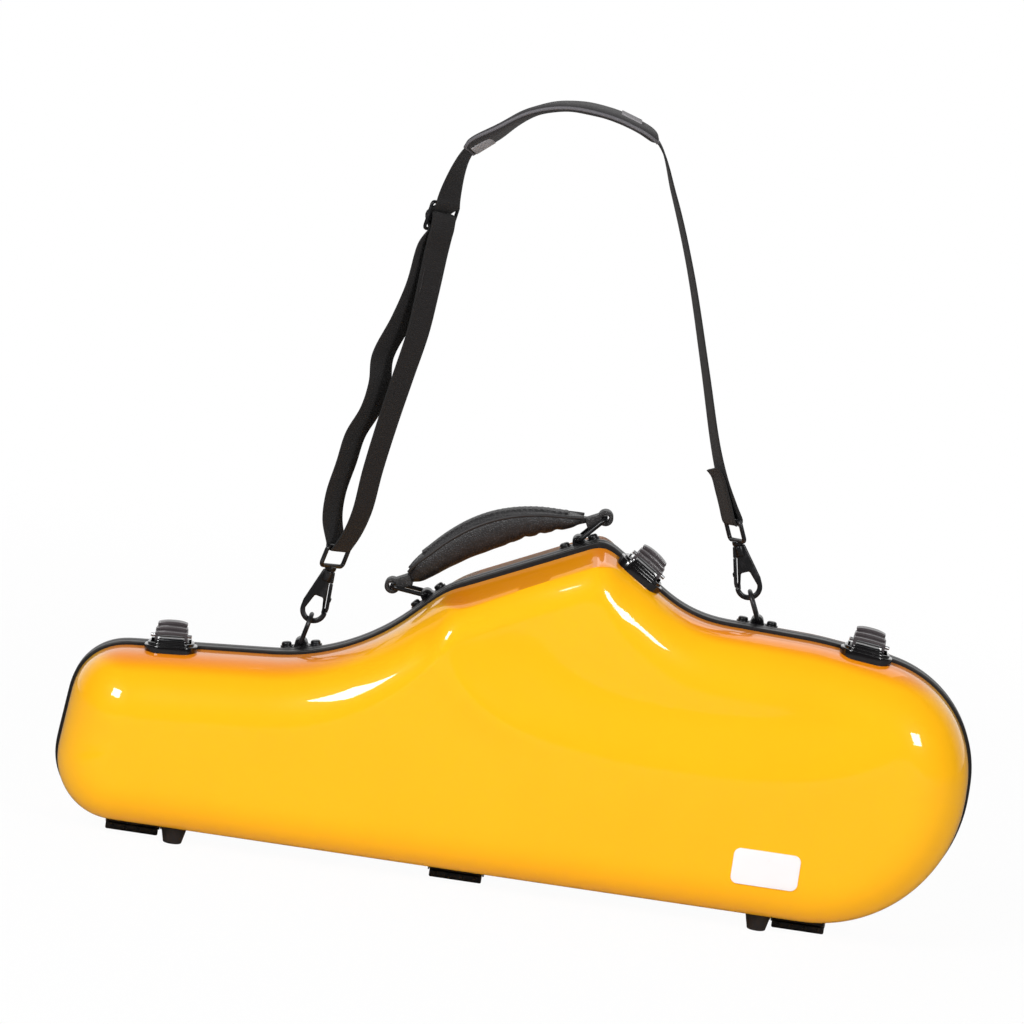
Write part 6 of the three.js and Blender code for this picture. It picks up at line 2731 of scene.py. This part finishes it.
        self.map_cloth(pad, rings, section, self.pad_width / 2)
        Bench.edit(pad, lambda: bpy.ops.mesh.normals_make_consistent(inside=False))
        Bench.modify(pad, "SUBSURF", levels=1, render_levels=1)
        SHOP.fit(pad, "shoulder_pad", smooth=70.0)
        loop = edge[1] + list(reversed(edge[-1]))
        piping = Bench.tube(loop, 1.2, True, 3)
        SHOP.fit(piping, "shoulder_pad", None, 60.0, "piping", PAD_PIPING)
        SHOP.fit(self.tabs(span), "shoulder_pad", None, 40.0, "tabs", TAB_CLOTH)

    def tabs(self, span: Sequence) -> Piece:
        """The small woven tabs at the pad's ends.

        Args:
            span: the fine stations inside the pad.

        Returns:
            The tabs.
        """
        parts = []
        for index, face in ((self.tab_places[0], 1), (len(span) + self.tab_places[1], -1)):
            at, wide, deep = span[index]
            run = wide.cross(deep)
            turn = Matrix((run, wide, deep)).transposed().to_4x4()
            half = Vector(self.tab_half)
            tab = Bench.bevel(Bench.box(-half, half), 0.5, 3)
            tab.data.transform(Matrix.Translation(at + deep * face * (self.pad_thick / 2 + 0.1)) @ turn)
            parts.append(tab)
        return Bench.join(*parts)


@dataclass
class Badge:
    """The bare badge on the lid."""

    width: float = 48.0
    height: float = 26.0
    corner: float = 5.0
    thick: float = 0.8
    shares: Tuple[float, float] = (0.292, 0.17)

    def build(self) -> None:
        """Makes the badge, bent to the lid's face."""
        centre = (self.shares[0] * SIZES.length, SIZES.seam_height + self.shares[1] * SIZES.height)
        low = (centre[0] - self.width / 2, centre[1] - self.height / 2)
        high = (centre[0] + self.width / 2, centre[1] + self.height / 2)
        loop = [Vector(p) for p in rounded_rectangle(low, high, self.corner, 8)]
        inner = [
            Vector((x, z))
            for x in np.arange(low[0] + 3, high[0] - 1, 3.0)
            for z in np.arange(low[1] + 3, high[1] - 1, 3.0)
        ]
        flat, faces = filled(loop, inner)
        form = HalfForm(LID)
        points = [(x, form.surface(x, z) - self.thick, z) for x, z in flat]
        piece = Bench.outward(Bench.mesh(points, faces))
        if piece.data.polygons[0].normal.y > 0:
            Bench.edit(piece, lambda: bpy.ops.mesh.flip_normals())
        Bench.modify(piece, "SOLIDIFY", thickness=self.thick + 0.6, offset=-1.0)
        SHOP.fit(Bench.bevel(piece, 0.25, 2, 50.0), "badge_plate")


# The studio


@dataclass
class Softbox:
    """A square lamp that faces the case."""

    place: Corner
    size: float
    power: float
    tall: float = 1.0

    def build(self, name: str, target: Vector) -> None:
        """Hangs the lamp.

        Args:
            name: the lamp's name.
            target: what it faces.
        """
        data = bpy.data.lights.new(name, "AREA")
        data.shape = "RECTANGLE"
        data.size = self.size
        data.size_y = self.size * self.tall
        data.energy = self.power
        lamp = bpy.data.objects.new(name, data)
        bpy.context.collection.objects.link(lamp)
        lamp.location = Vector(self.place)
        lamp.rotation_euler = (target - lamp.location).to_track_quat("-Z", "Y").to_euler()


@dataclass
class Studio:
    """The camera, the lamps, the world and the floor."""

    target: Corner = (-26.0, 0.0, 269.0)
    view_width: float = 733.2
    distance: float = 4500.0
    elevation: float = math.radians(8.97)
    roll: Tuple[float, float] = (0.98915, 0.14695)
    ambient: float = 0.25
    room: Tuple[float, float, float, float] = (0.25, 0.8, 0.03, 1.0)
    floor_size: float = 30.0
    paper: Corner = (0.9, 0.9, 0.9)
    paper_reflected: Corner = (0.22, 0.22, 0.22)
    paper_clear: Tuple[float, float] = (0.965, 0.035)

    def build(self) -> None:
        """Sets up the studio."""
        self.camera()
        self.world()
        self.floor()
        target = (Vector(self.target) + SHIFT) * MM
        Softbox((-1.5, -2.2, 1.9), 0.8, 62.0).build("key_lamp", target)
        Softbox((1.7, -2.5, 1.5), 0.7, 42.0).build("fill_lamp", target)
        Softbox((0.3, 1.8, 2.4), 1.6, 8.0).build("top_lamp", target)

    def camera(self) -> None:
        """Places the camera where the photograph was taken from."""
        forward = Vector((0, math.cos(self.elevation), -math.sin(self.elevation)))
        across, up = Vector((1, 0, 0)), Vector((0, math.sin(self.elevation), math.cos(self.elevation)))
        c, s = self.roll
        right, top = across * c + up * s, up * c - across * s
        turn = Matrix((right, top, -forward)).transposed().to_4x4()
        place = (Vector(self.target) + SHIFT - forward * self.distance) * MM
        data = bpy.data.cameras.new("camera")
        data.sensor_width = 36.0
        data.lens = 36.0 * self.distance / self.view_width
        data.clip_end = 50.0
        camera = bpy.data.objects.new("camera", data)
        bpy.context.collection.objects.link(camera)
        camera.matrix_world = Matrix.Translation(place) @ turn
        bpy.context.scene.camera = camera

    def world(self) -> None:
        """White behind the case, and a dark room in front of it for reflections."""
        world = bpy.data.worlds.new("studio")
        bpy.context.scene.world = world
        world.use_nodes = True
        tree = world.node_tree
        tree.nodes.clear()
        kinds = "LightPath TexCoord SeparateXYZ MapRange Mix Mix OutputWorld Background".split()
        path, place, split, ramp, plain, seen, output, background = (
            tree.nodes.new(f"ShaderNode{kind}") for kind in kinds
        )
        for name, value in zip(("From Min", "From Max", "To Min", "To Max"), self.room):
            ramp.inputs[name].default_value = value
        plain.inputs[2].default_value = self.ambient
        seen.inputs[3].default_value = 1.0
        background.inputs["Color"].default_value = (1, 1, 1, 1)
        for source, target in (
            (place.outputs["Generated"], split.inputs[0]),
            (split.outputs["Y"], ramp.inputs["Value"]),
            (path.outputs["Is Glossy Ray"], plain.inputs[0]),
            (ramp.outputs[0], plain.inputs[3]),
            (path.outputs["Is Camera Ray"], seen.inputs[0]),
            (plain.outputs[0], seen.inputs[2]),
            (seen.outputs[0], background.inputs["Strength"]),
            (background.outputs[0], output.inputs["Surface"]),
        ):
            tree.links.new(source, target)

    def floor(self) -> None:
        """The pale floor, nearly clear to the camera, so that it doesn't hide the opened lid."""
        bpy.ops.object.select_all(action="DESELECT")
        bpy.ops.mesh.primitive_plane_add(size=self.floor_size, location=(0, 0, 0))
        floor = bpy.context.object
        floor.name = "floor"
        paint = Paint("floor_paper")
        glossy, camera, shadow = (
            paint.node("LightPath", output=f"Is {ray} Ray") for ray in ("Glossy", "Camera", "Shadow")
        )
        paint.done(Base_Color=paint.blend(glossy, self.paper, self.paper_reflected), Roughness=0.9)
        distance = paint.node("VectorMath", {0: paint.place()}, "Value", operation="LENGTH")
        near, further = self.paper_clear
        share = camera * (near + distance.between(0.6, 1.6) * further) + shadow
        solid, clear = Value(paint, paint.shader.outputs[0]), paint.node("BsdfTransparent")
        mixed = paint.node("MixShader", {0: share, 1: solid, 2: clear})
        paint.feed(paint.tree.nodes["Material Output"].inputs["Surface"], mixed)
        floor.data.materials.append(paint.material)


def main() -> None:
    """Builds the scene."""
    logging.basicConfig(level=logging.INFO, format="%(name)s: %(message)s")
    Studio().build()
    builders = (
        Shells(), Trims(), Linings(), Feet(), Hinges(), Latches(),
        BRACKETS, Handle(), HOOKS, Strap(), Badge(),
    )
    for builder in builders:
        LOG.info("building %s", type(builder).__name__)
        builder.build()
    view = bpy.context.scene.view_settings
    view.view_transform = "Standard"


if __name__ == "__main__":
    main()
